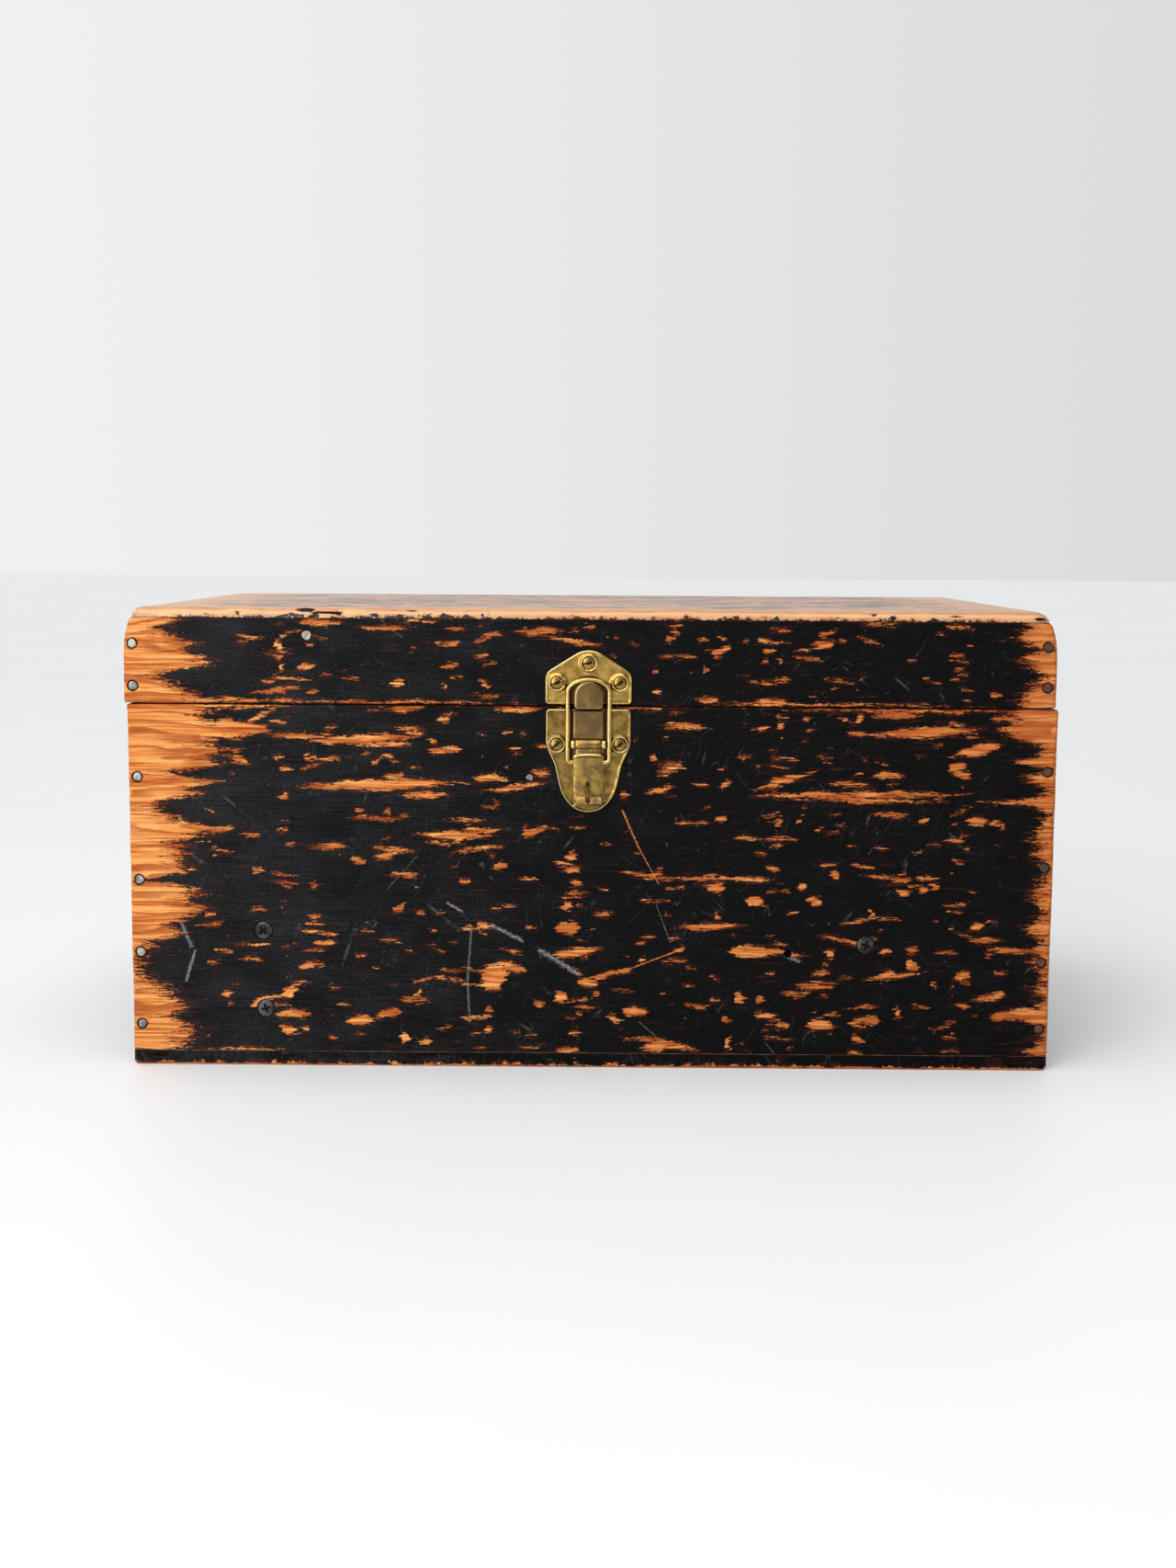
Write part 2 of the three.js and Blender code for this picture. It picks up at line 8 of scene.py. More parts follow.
import bpy
import numpy as np
from mathutils import Euler, Matrix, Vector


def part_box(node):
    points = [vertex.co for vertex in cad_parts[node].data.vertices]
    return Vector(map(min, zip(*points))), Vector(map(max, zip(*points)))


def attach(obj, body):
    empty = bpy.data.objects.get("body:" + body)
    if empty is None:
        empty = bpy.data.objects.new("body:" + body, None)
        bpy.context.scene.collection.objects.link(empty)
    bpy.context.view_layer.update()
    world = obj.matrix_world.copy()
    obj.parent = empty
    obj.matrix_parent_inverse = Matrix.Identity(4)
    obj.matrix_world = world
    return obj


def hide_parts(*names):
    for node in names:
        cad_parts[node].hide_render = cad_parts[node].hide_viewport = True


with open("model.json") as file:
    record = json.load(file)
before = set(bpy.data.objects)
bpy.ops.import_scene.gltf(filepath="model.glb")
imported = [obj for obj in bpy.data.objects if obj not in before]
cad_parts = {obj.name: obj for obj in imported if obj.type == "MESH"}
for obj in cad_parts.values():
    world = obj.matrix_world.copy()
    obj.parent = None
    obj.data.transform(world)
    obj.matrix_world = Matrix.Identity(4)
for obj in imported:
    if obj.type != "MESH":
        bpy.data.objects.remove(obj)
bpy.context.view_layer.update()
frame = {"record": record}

MM = 0.001
BODY_OF = {node: body for body, nodes in frame["record"]["behaviour"]["bodies"].items() for node in nodes}
SLOT_OF = {part["node"]: part["material_slot"] for part in frame["record"]["subparts"]}

# Right, up and outward directions of each side of the box, as someone facing that side sees them.
FACINGS = {
    "front": ((1, 0, 0), (0, 0, 1), (0, -1, 0)),
    "back": ((-1, 0, 0), (0, 0, 1), (0, 1, 0)),
    "left": ((0, -1, 0), (0, 0, 1), (-1, 0, 0)),
    "right": ((0, 1, 0), (0, 0, 1), (1, 0, 0)),
    "top": ((1, 0, 0), (0, 1, 0), (0, 0, 1)),
    "bottom": ((1, 0, 0), (0, -1, 0), (0, 0, -1)),
}


def node_box(node):
    low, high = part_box(node)
    return np.array(low) / MM, np.array(high) / MM


def node_middle(node):
    low, high = node_box(node)
    return (low + high) / 2


def span(node, direction):
    """How far a node reaches along a direction: lowest and highest."""
    low, high = node_box(node)
    ends = sorted((float(low @ np.array(direction)), float(high @ np.array(direction))))
    return ends[0], ends[1]


FRONT_Y = node_box("base_front")[0][1]
BACK_Y = node_box("base_back")[1][1]
LEFT_X = node_box("base_front")[0][0]
RIGHT_X = node_box("base_front")[1][0]
SEAM_Z = (node_box("base_front")[1][2] + node_box("lid_front")[0][2]) / 2
LATCH_X = node_middle("keeper_plate")[0]
HINGE_Y = node_middle("left_hinge_pin")[1]

# ---------------------------------------------------------------- noise


def lattice_value(cells, seed):
    """A repeatable number from 0 to 1 for each whole-number cell."""
    mixed = cells[..., 0] * 374761393 + cells[..., 1] * 668265263 + cells[..., 2] * 1442695041 + seed * 974711
    mixed = ((mixed & 0xFFFFFFFF) ^ ((mixed & 0xFFFFFFFF) >> 13)) * 1274126177 & 0xFFFFFFFF
    return ((mixed ^ (mixed >> 16)) & 0xFFFF) / 65535.0


def smooth_noise(points, seed=0):
    """Value noise from 0 to 1 whose features are about one unit wide."""
    points = np.asarray(points, float)
    cells = np.floor(points).astype(np.int64)
    part = points - cells
    part = part * part * (3 - 2 * part)
    total = np.zeros(points.shape[:-1])
    for corner in np.ndindex(2, 2, 2):
        weight = np.prod(np.where(corner, part, 1 - part), axis=-1)
        total += weight * lattice_value(cells + np.array(corner), seed)
    return total


def spread(first, second):
    """Two fields of coordinates as points on a plane, which is what the noise takes."""
    return np.stack([first, second, 0 * first], axis=-1)


def fractal(points, seed=0, octaves=3):
    points = np.asarray(points, float)
    shares = [0.5**k for k in range(octaves)]
    layers = [share * smooth_noise(points * 2**k, seed + k) for k, share in enumerate(shares)]
    return sum(layers) / sum(shares)


def smooth(value, low, high):
    share = np.clip((value - low) / (high - low), 0, 1)
    return share * share * (3 - 2 * share)


def bell(offset, width):
    """A smooth hump: 1 where the offset is nought, fading out over a few widths."""
    return np.exp(-((offset / width) ** 2))


# ---------------------------------------------------------------- meshes


def make_mesh(name, points, faces, material, attributes=None, sharp=35):
    mesh = bpy.data.meshes.new(name)
    mesh.from_pydata((np.asarray(points) * MM).tolist(), [], faces)
    for key, values in (attributes or {}).items():
        values = np.asarray(values, np.float32)
        vector = values.ndim == 2
        layer = mesh.attributes.new(key, "FLOAT_VECTOR" if vector else "FLOAT", "POINT")
        layer.data.foreach_set("vector" if vector else "value", values.ravel())
    mesh.polygons.foreach_set("use_smooth", [True] * len(mesh.polygons))
    mesh.set_sharp_from_angle(angle=math.radians(sharp))
    mesh.materials.append(material)
    piece = bpy.data.objects.new(name, mesh)
    bpy.context.scene.collection.objects.link(piece)
    return piece


def stand_for(piece, *nodes):
    """The piece takes its body from the first CAD node that it stands for, and those CAD nodes are hidden."""
    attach(piece, BODY_OF[nodes[0]])
    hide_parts(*nodes)


def onto(facing, origin, local):
    """Local (right, up, outward) points, placed on one side of the box around an origin."""
    axes = np.array(FACINGS[facing], float)
    return np.asarray(origin, float) + np.asarray(local, float) @ axes


# ---------------------------------------------------------------- shader building


class Shader:
    """A material being built from nodes, with short names for the nodes that it uses."""

    def __init__(self, name):
        self.material = bpy.data.materials.new(name)
        self.material.use_nodes = True
        self.tree = self.material.node_tree
        self.tree.nodes.clear()

    def feed(self, socket, value):
        if isinstance(value, bpy.types.NodeSocket):
            self.tree.links.new(value, socket)
        else:
            socket.default_value = value

    def node(self, kind, inputs, output=0, **settings):
        made = self.tree.nodes.new(kind)
        for key, value in settings.items():
            setattr(made, key, value)
        for key, value in inputs.items():
            self.feed(made.inputs[key], value)
        return made.outputs[output]

    def attribute(self, name, output="Fac"):
        return self.node("ShaderNodeAttribute", {}, output, attribute_name=name)

    def math(self, operation, first, second=0.0, third=0.0):
        return self.node("ShaderNodeMath", {0: first, 1: second, 2: third}, operation=operation)

    def vector(self, operation, first, second=(0, 0, 0), output=0):
        return self.node("ShaderNodeVectorMath", {0: first, 1: second}, output, operation=operation)

    def step(self, value, low, high, to_low=0.0, to_high=1.0):
        inputs = {0: value, 1: low, 2: high, 3: to_low, 4: to_high}
        return self.node("ShaderNodeMapRange", inputs, interpolation_type="SMOOTHSTEP")

    def noise(self, where, detail=3.0, roughness=0.55, distortion=0.0):
        inputs = {"Vector": where, "Scale": 1.0, "Detail": detail, "Roughness": roughness}
        inputs["Distortion"] = distortion
        return self.node("ShaderNodeTexNoise", inputs)

    def stretched(self, where, sizes, turn=0.0, shift=(0, 0, 0)):
        """Coordinates in which a feature of these sizes, in the units of where, is one unit."""
        scale = tuple(1 / size for size in sizes)
        inputs = {"Vector": where, "Location": shift, "Rotation": (0, 0, turn)}
        turned = self.node("ShaderNodeMapping", inputs)
        return self.vector("MULTIPLY", turned, scale)

    def texture(self, where, sizes, detail, roughness=0.55, shift=(0, 0, 0), distortion=0.0):
        """Noise whose features have these sizes, in the units of where."""
        return self.noise(self.stretched(where, sizes, shift=shift), detail, roughness, distortion)

    def mix(self, share, first, second):
        made = self.tree.nodes.new("ShaderNodeMix")
        made.data_type = "RGBA"
        for index, value in ((0, share), (6, first), (7, second)):
            self.feed(made.inputs[index], value)
        return made.outputs[2]

    def blend(self, share, first, second):
        return self.node("ShaderNodeMix", {0: share, 2: first, 3: second}, data_type="FLOAT")

    def bump(self, height, distance, strength=1.0, normal=None):
        inputs = {"Height": height, "Distance": distance, "Strength": strength}
        if normal is not None:
            inputs["Normal"] = normal
        return self.node("ShaderNodeBump", inputs)

    def finish(self, **inputs):
        surface = self.tree.nodes.new("ShaderNodeBsdfPrincipled")
        for key, value in inputs.items():
            self.feed(surface.inputs[key.replace("_", " ")], value)
        output = self.tree.nodes.new("ShaderNodeOutputMaterial")
        self.tree.links.new(surface.outputs[0], output.inputs[0])
        return self.material


def rgb(red, green, blue):
    """An sRGB colour, 0 to 255, as the linear colour that a socket takes."""
    linear = [((c / 255 + 0.055) / 1.055) ** 2.4 if c > 10 else c / 255 / 12.92 for c in (red, green, blue)]
    return (*linear, 1.0)


# ---------------------------------------------------------------- plywood and paint

WOOD_PALE = rgb(238, 172, 102)
WOOD_ORANGE = rgb(210, 120, 52)
WOOD_DARK = rgb(126, 58, 22)
WOOD_RED = rgb(158, 70, 28)
WOOD_RAW = rgb(214, 178, 130)
WOOD_BLEACH_AND_GLARE = rgb(222, 190, 150)
PORE_BROWN = rgb(58, 28, 16)
PAINT_BLACK = rgb(5, 5, 6)
PAINT_GREY = rgb(36, 37, 40)
PAINT_THIN = rgb(78, 32, 18)

# Scuffs on the front: ends (x, z), half width, colour, and how solid they are.
SCUFF_GREY = rgb(142, 145, 150)
SCUFF_GREEN = rgb(122, 138, 124)
FRONT_SCUFFS = [
    ((-79, 92), (-71, 87.5), 1.1, SCUFF_GREY, 0.8),
    ((-55, 80), (-38, 71.5), 1.5, SCUFF_GREY, 0.75),
    ((-28, 66), (-7, 53), 2.0, SCUFF_GREY, 0.7),
    ((-66.0, 77), (-68, 50), 1.0, SCUFF_GREEN, 0.5),
    ((-68, 50), (-67, 26), 1.0, SCUFF_GREEN, 0.5),
    ((-226, 80), (-221, 67), 1.6, SCUFF_GREY, 0.6),
    ((-219, 64), (-224, 48), 1.3, SCUFF_GREY, 0.7),
    ((108, 64), (115, 61), 1.6, SCUFF_GREY, 0.6),
    ((17, 144), (26, 124), 0.8, WOOD_ORANGE, 1.0),
    ((26, 124), (37, 104), 0.5, WOOD_ORANGE, 0.9),
    ((-3, 50), (22, 56), 0.7, WOOD_ORANGE, 0.9),
    ((22, 56), (52, 68), 0.6, WOOD_ORANGE, 0.9),
    ((36, 92), (44, 71), 0.35, SCUFF_GREY, 0.5),
    ((27, 26), (40, 15), 0.4, SCUFF_GREY, 0.5),
    ((-96, 118), (-112, 100), 0.4, SCUFF_GREY, 0.3),
    ((98, 14), (106, 4), 0.4, SCUFF_GREY, 0.4),
]


def distance_to_line(s, where, start, end):
    """How far each point lies from the straight line between two (x, z) places."""
    along = np.array([end[0] - start[0], end[1] - start[1], 0.0])
    from_start = s.vector("SUBTRACT", where, (*start, 0))
    share = s.vector("DOT_PRODUCT", from_start, tuple(along / (along @ along)), output=1)
    share = s.math("MINIMUM", s.math("MAXIMUM", share, 0.0), 1.0)
    nearest = s.tree.nodes.new("ShaderNodeVectorMath")
    nearest.operation = "SCALE"
    nearest.inputs[0].default_value = tuple(along)
    s.tree.links.new(share, nearest.inputs["Scale"])
    return s.vector("LENGTH", s.vector("SUBTRACT", from_start, nearest.outputs[0]), output=1)


def add_scuffs(s, flat, colour, scuffs):
    ragged = s.texture(flat, (1.6, 1.3, 9), 5, 0.75)
    for start, end, half_width, tint, solid in scuffs:
        away = distance_to_line(s, flat, start, end)
        rough_edge = s.math("MULTIPLY_ADD", ragged, half_width * 4.4, away)
        mask = s.step(rough_edge, half_width * 3.1, half_width * 2.0, 0.0, solid)
        colour = s.mix(mask, colour, tint)
    return colour


def wood_colour(s, grain, ply, edge, raw):
    """Fir veneer: long streaks along the grain, with layers and dark end grain on cut edges."""
    fibre = s.texture(grain, (24, 0.5, 0.8), 5, 0.7)
    streak = s.texture(grain, (75, 2.4, 4), 3, 0.6, distortion=0.4)
    zone = s.texture(grain, (60, 9, 30), 3, 0.6)
    tone = s.math("MULTIPLY_ADD", fibre, 0.5, s.math("MULTIPLY", streak, 0.5))
    face = s.mix(s.step(tone, 0.40, 0.58), WOOD_PALE, WOOD_ORANGE)
    sway = s.texture(grain, (95, 15, 60), 2, 0.5, shift=(9, 2, 0))
    height = s.vector("DOT_PRODUCT", grain, (0, 0.17, 0), output=1)
    ring = s.math("FRACT", s.math("MULTIPLY_ADD", sway, 5.5, s.math("MULTIPLY_ADD", fibre, 0.5, height)))
    late = s.math("MULTIPLY", s.step(ring, 0.35, 0.9, 0.0, 0.75), s.step(ring, 1.0, 0.93))
    face = s.mix(late, face, WOOD_RED)
    face = s.mix(s.step(zone, 0.53, 0.68, 0.0, 0.65), face, WOOD_RED)
    face = s.mix(s.step(tone, 0.55, 0.66, 0.0, 0.85), face, WOOD_DARK)
    # Redder, darker wood towards the right: painted shade where the light falls off.
    across = s.vector("DOT_PRODUCT", grain, (1, 0, 0), output=1)
    face = s.mix(s.step(across, -160, 240, 0.0, 0.4), face, WOOD_RED)
    pores = s.texture(grain, (5, 0.28, 0.6), 2, 0.6)
    face = s.mix(s.step(pores, 0.6, 0.74, 0.0, 0.55), face, PORE_BROWN)
    face = s.mix(s.math("MULTIPLY", raw, 0.88), face, WOOD_RAW)
    layer = s.step(s.math("SINE", s.math("MULTIPLY", ply, math.pi)), -0.25, 0.25)
    speckle = s.texture(grain, (0.9, 0.9, 0.35), 3, 0.7)
    end_grain = s.mix(s.step(speckle, 0.4, 0.66), WOOD_PALE, WOOD_ORANGE)
    layered = s.mix(layer, end_grain, face)
    glue = s.step(s.math("ABSOLUTE", s.math("SINE", s.math("MULTIPLY", ply, math.pi))), 0.16, 0.04, 0.0, 0.6)
    layered = s.mix(glue, layered, WOOD_DARK)
    return s.mix(s.math("MULTIPLY", edge, 0.8), face, layered), fibre


def hairlines(s, grain, size, turn, seed):
    """Fine curved scratches: the contour lines of a stretched noise, in scattered places."""
    drift = s.noise(s.stretched(grain, size, turn, (seed, 2 * seed, 0)), detail=1)
    line = s.step(s.math("ABSOLUTE", s.math("SUBTRACT", drift, 0.5)), 0.0035, 0.001)
    patchy = s.texture(grain, (13, 13, 40), 3, 0.7, (seed, 0, seed))
    return s.math("MULTIPLY", line, s.step(patchy, 0.52, 0.66))


def painted_plywood(name, scuffs=(), wear_shift=0.0, gloss=0.0, bleach_and_glare=0.0):
    """Satin black paint that has worn through to fir in streaks along the grain."""
    s = Shader(name)
    grain = s.attribute("grain", "Vector")
    wear = s.attribute("wear")
    raw = s.attribute("raw")
    edge = s.attribute("edge")
    ply = s.attribute("ply")
    rot_rust_and_shade = s.attribute("rot_rust_and_shade")
    wood, fibre = wood_colour(s, grain, ply, edge, raw)
    # The bare wood is paled: bleached by age, and paler again as a painted glare.
    wood = s.mix(bleach_and_glare, wood, WOOD_BLEACH_AND_GLARE) if bleach_and_glare else wood

    ragged = s.texture(grain, (6.5, 1.2, 7), 5, 0.72)
    bits = s.texture(grain, (2.2, 0.8, 3), 4, 0.72)
    splinter = s.texture(grain, (6, 0.4, 2), 3, 0.65)
    sliver = s.texture(grain, (14, 0.8, 9), 3, 0.6, shift=(3, 1, 0))
    measure = s.math("MULTIPLY_ADD", ragged, 5.2, s.math("MULTIPLY_ADD", splinter, 2.4, wear))
    measure = s.math("MULTIPLY_ADD", bits, 5.0, measure)
    measure = s.math("MULTIPLY_ADD", s.step(sliver, 0.54, 0.66), -2.2, measure)
    measure = s.math("ADD", measure, wear_shift - 6.3)
    speck = s.texture(grain, (3.4, 0.8, 5), 4, 0.7, shift=(31, 7, 0))
    crowd = s.texture(grain, (45, 35, 60), 1)
    specks = s.step(s.math("MULTIPLY_ADD", crowd, 0.16, speck), 0.782, 0.80)
    bare = s.math("MAXIMUM", s.step(measure, -0.06, 0.1), specks)
    bare = s.math("MAXIMUM", bare, raw)

    smear = s.texture(grain, (16, 2.0, 20), 5, 0.7, shift=(5, 3, 1))
    thin = s.math("MULTIPLY", s.step(measure, -1.7, 0.0), s.step(smear, 0.44, 0.60))
    faint = s.step(s.math("MULTIPLY_ADD", crowd, 0.2, s.math("MULTIPLY", smear, 0.9)), 0.62, 0.74, 0.0, 0.45)
    thin = s.math("MAXIMUM", thin, faint)
    stained = s.math("MULTIPLY", s.step(measure, 1.5, 0.0), s.step(smear, 0.42, 0.56, 0.0, 0.85))
    wood = s.mix(stained, wood, WOOD_RED)
    dusty = s.texture(grain, (30, 0.9, 6), 5, 0.72)
    mottle = s.texture(grain, (1.5, 0.9, 3), 3, 0.7)
    cloud = s.texture(grain, (38, 24, 40), 4, 0.6)
    grey = s.math("MULTIPLY_ADD", dusty, 0.6, s.math("MULTIPLY", cloud, 0.5))
    grey = s.math("MULTIPLY_ADD", mottle, 0.7, grey)
    across = s.vector("DOT_PRODUCT", grain, (1, 0, 0), output=1)
    # Greyer paint towards the left: a painted sheen from the light on that side.
    grey = s.math("ADD", grey, s.step(across, -230, 130, 0.05, -0.14))
    paint = s.mix(s.step(grey, 0.8, 1.14), PAINT_BLACK, PAINT_GREY)
    for size, turn, seed in (((120, 9, 60), 0.7, 3), ((100, 11, 60), -0.9, 11), ((80, 12, 60), 1.9, 23)):
        lines = hairlines(s, grain, size, turn, seed)
        paint = s.mix(s.math("MULTIPLY", lines, 0.15), paint, SCUFF_GREY)
    paint = s.mix(thin, paint, PAINT_THIN)
    colour = s.mix(bare, paint, wood)
    if scuffs:
        flat = s.vector("MULTIPLY", grain, (1, 1, 0))
        colour = add_scuffs(s, flat, colour, scuffs)

    # Dark brown in rotten pits and in and round pockets: rot and rust, with painted shade inside the hollows.
    rot = s.texture(grain, (1.4, 1.0, 1.0), 4, 0.75)
    rotten_and_shaded = s.step(s.math("MULTIPLY_ADD", rot, 0.9, rot_rust_and_shade), 0.78, 0.98)
    colour = s.mix(rotten_and_shaded, colour, rgb(30, 17, 12))

    satin = s.step(dusty, 0.3, 0.7, 0.3, 0.44)
    roughness = s.blend(bare, satin, s.step(fibre, 0.3, 0.7, 0.55, 0.72))
    height = s.math("MULTIPLY_ADD", fibre, 0.5, s.math("MULTIPLY", bare, -0.45))
    height = s.math("MULTIPLY_ADD", dusty, 0.55, height)
    height = s.math("MULTIPLY_ADD", mottle, 0.25, height)
    height = s.math("MULTIPLY_ADD", rotten_and_shaded, -1.5, height)
    normal = s.bump(height, 0.0004, 0.9)
    coat = s.math("MULTIPLY", s.math("SUBTRACT", 1.0, raw), gloss) if gloss else 0.0
    return s.finish(Base_Color=colour, Roughness=roughness, Normal=normal, Specular_IOR_Level=0.07,
                    Coat_Weight=coat, Coat_Roughness=0.3)


# ---------------------------------------------------------------- metals


def aged_brass(name, patina=0.4, brown=rgb(124, 100, 66), bright=1.0):
    """Olive-gold brass with brown patina, polished and brighter along its rims, which also carry a pale
    painted highlight, and darkened by painted shade and grime in gaps.
    """
    s = Shader(name)
    place = s.vector("MULTIPLY", s.node("ShaderNodeTexCoord", {}, "Object"), (1000, 1000, 1000))
    rim = s.attribute("rim")
    grime_and_shade = s.attribute("grime_and_shade")
    clouds = s.texture(place, (5, 5, 5), 5, 0.62)
    fine = s.texture(place, (0.7, 0.7, 1.1), 4, 0.7)
    # bright scales a copy's warm colours; the keeper and bail copy is made lighter as a painted highlight,
    # for how their domed faces catch the light.
    warm = s.mix(s.step(clouds, 0.36, 0.66), rgb(*bright * np.array((170, 138, 72))),
                 rgb(*bright * np.array((130, 102, 50))))
    amount = s.math("MULTIPLY_ADD", fine, 0.3, s.math("MULTIPLY", clouds, 0.9))
    tarnish = s.step(amount, 0.78 - patina * 0.55, 1.0 - patina * 0.4)
    tarnish = s.math("MULTIPLY", tarnish, s.step(rim, 0.0, 1.0, 1.0, 0.1))
    colour = s.mix(tarnish, warm, brown)
    freckles = s.step(fine, 0.62, 0.74, 0.0, 0.5)
    colour = s.mix(freckles, colour, rgb(92, 68, 40))
    # A pale gold painted highlight along the rims, over their real polish.
    colour = s.mix(s.step(rim, 0.15, 0.9, 0.0, 0.85), colour, rgb(240, 216, 150))
    # Dark brown painted shade in gaps, creases, slots and recesses, mixed with some grime.
    soiled_and_shaded = s.math("MULTIPLY_ADD", fine, 0.5, s.math("SUBTRACT", grime_and_shade, 0.25))
    colour = s.mix(s.step(soiled_and_shaded, 0.1, 0.8, 0.0, 0.95), colour, rgb(50, 29, 15))
    roughness = s.step(s.math("MULTIPLY_ADD", tarnish, 0.3, fine), 0.35, 1.0, 0.24, 0.44)
    brushed = s.texture(place, (0.12, 2.5, 2.0), 2)
    normal = s.bump(s.math("MULTIPLY_ADD", fine, 0.6, s.math("MULTIPLY", brushed, 0.25)), 0.00004, 0.35)
    return s.finish(Base_Color=colour, Metallic=1.0, Roughness=roughness, Normal=normal)


def worn_steel(name, bright, dark, roughness=0.45, rust=0.35):
    """Steel with grime and freckles of rust."""
    s = Shader(name)
    place = s.vector("MULTIPLY", s.node("ShaderNodeTexCoord", {}, "Object"), (1000, 1000, 1000))
    clouds = s.texture(place, (6, 6, 6), 4, 0.6)
    fine = s.texture(place, (0.5, 0.5, 0.5), 3, 0.7)
    colour = s.mix(s.step(clouds, 0.4, 0.62), bright, dark)
    freckles = s.step(s.math("MULTIPLY_ADD", fine, 0.4, clouds), 0.95 - rust * 0.5, 1.02 - rust * 0.4)
    colour = s.mix(freckles, colour, rgb(96, 52, 30))
    metal = s.step(freckles, 0.0, 1.0, 0.95, 0.2)
    gloss = s.step(fine, 0.3, 0.7, roughness - 0.08, roughness + 0.14)
    return s.finish(Base_Color=colour, Metallic=metal, Roughness=gloss, Normal=s.bump(fine, 0.00005, 0.8))


# ---------------------------------------------------------------- worn streaks on the front

# How far the paint has gone from the front's left and right edges: (height, reach), from the bottom up.
LEFT_REACH = [
    (0, 26), (14, 30), (23, 31), (26, 20), (30, 28), (36, 24), (43, 20), (49, 7), (54, 5), (62, 6),
    (69, 12), (74, 28), (78, 20), (81, 26), (88, 42), (93, 30), (98, 37), (101, 30), (103.8, 5),
    (106, 18), (110, 32), (115, 26), (120.6, 31), (125, 24), (128, 37), (131, 40), (133, 58), (136, 30),
    (140, 23), (144, 14), (148, 20), (152.5, 41), (155, 34), (158, 49), (160, 40), (162.5, 23), (165, 30),
    (168, 49), (172, 44), (176, 53), (180, 44), (185, 60), (189, 52), (195, 40), (199, 50), (203, 42),
    (206, 36), (211, 28), (217, 14), (220, 30), (222.8, 50), (225, 40), (227, 46), (231, 30), (235, 36),
    (239, 24), (243, 16), (247, 30), (254, 30),
]
RIGHT_REACH = [
    (0, 6), (8, 8), (10.6, 16), (14, 5), (25, 3), (29, 16), (32, 23), (35, 8), (39, 3), (46, 7), (54, 6),
    (61, 13), (64, 8), (67, 14), (72, 6), (78, 12), (82, 14), (86, 8), (90, 4), (97, 12), (102.4, 11),
    (107, 6), (111, 3), (118, 6), (123, 10), (130, 11), (133, 14), (137.5, 8), (144, 4), (148, 14),
    (150, 23), (154.5, 6), (159, 9), (164.5, 19), (167, 8), (169.5, 6), (172.8, 26), (176, 12),
    (179.5, 8), (184.5, 22), (189.5, 36), (194.5, 24), (200, 27), (205, 22), (210, 21), (215, 16),
    (219.6, 6), (222, 14), (224.6, 18), (229.6, 23), (233, 12), (236, 16), (239.6, 27), (243, 20),
    (246, 18), (254, 20),
]
# Worn patches: middle (x, z), half length, half height, slope.
LID_PATCHES = [
    (-148, 246.2, 11, 1.6, 0), (-111.5, 243.3, 16.7, 1.2, 0), (-74, 243.3, 5, 1.2, 0),
    (-94, 247, 9, 0.8, 0), (-29, 242, 12.5, 1.8, 0.05), (-79, 235, 7.5, 1.5, 0),
    (-60, 228.3, 3.7, 1.4, 0), (-168.5, 239, 2.5, 1.2, 0), (-170, 233.5, 1.6, 3, 0),
    (-171, 227.5, 2.4, 1.6, 0), (-169.5, 222, 1.2, 2.5, 0), (-157, 221.5, 4.6, 1.3, 0.2),
    (-106.5, 213.6, 3.7, 2.4, 0), (-77.4, 222.8, 5.8, 1.2, 0.2), (-58, 212, 1.2, 2, 0),
    (-80, 211, 1.4, 2, 0), (-172, 209.4, 12, 1.4, 0.15), (-153, 208.6, 3.5, 1.2, 0),
    (-210, 203.4, 45, 1.4, 0), (-117, 203, 58, 0.8, 0), (42, 238.5, 3.2, 1.6, 0),
    (44, 241.8, 2.3, 1.2, 0), (59, 238, 3, 0.8, 0), (69.8, 231.8, 5, 2.2, 0.5),
    (61.4, 221.4, 1.8, 1.4, 0), (91.4, 237.6, 3.4, 1, 0), (83.6, 237.2, 1.8, 1, 0),
    (125.6, 241.3, 3.4, 1.6, 0), (125.3, 236, 6, 2.4, 0.1), (135.6, 238, 2.4, 1.2, 0),
    (96.4, 231.8, 4, 1, 0), (114, 228.1, 5, 0.7, 0), (122, 227, 2.5, 1, 0), (35.2, 220.4, 2.2, 1.2, 0),
    (35.6, 209.2, 2.4, 1.2, 0), (63, 205.5, 6.5, 1.3, 0), (97.3, 203.6, 9, 2.2, -0.05),
    (157, 247, 10, 0.9, 0), (199, 246, 7, 0.9, 0), (198.6, 222.6, 3, 1, 0.2), (182, 217.5, 1.8, 1, 0),
    (219, 209.5, 4, 1, 0), (-1, 245, 3, 1.2, 0), (130, 203, 60, 0.7, 0),
]
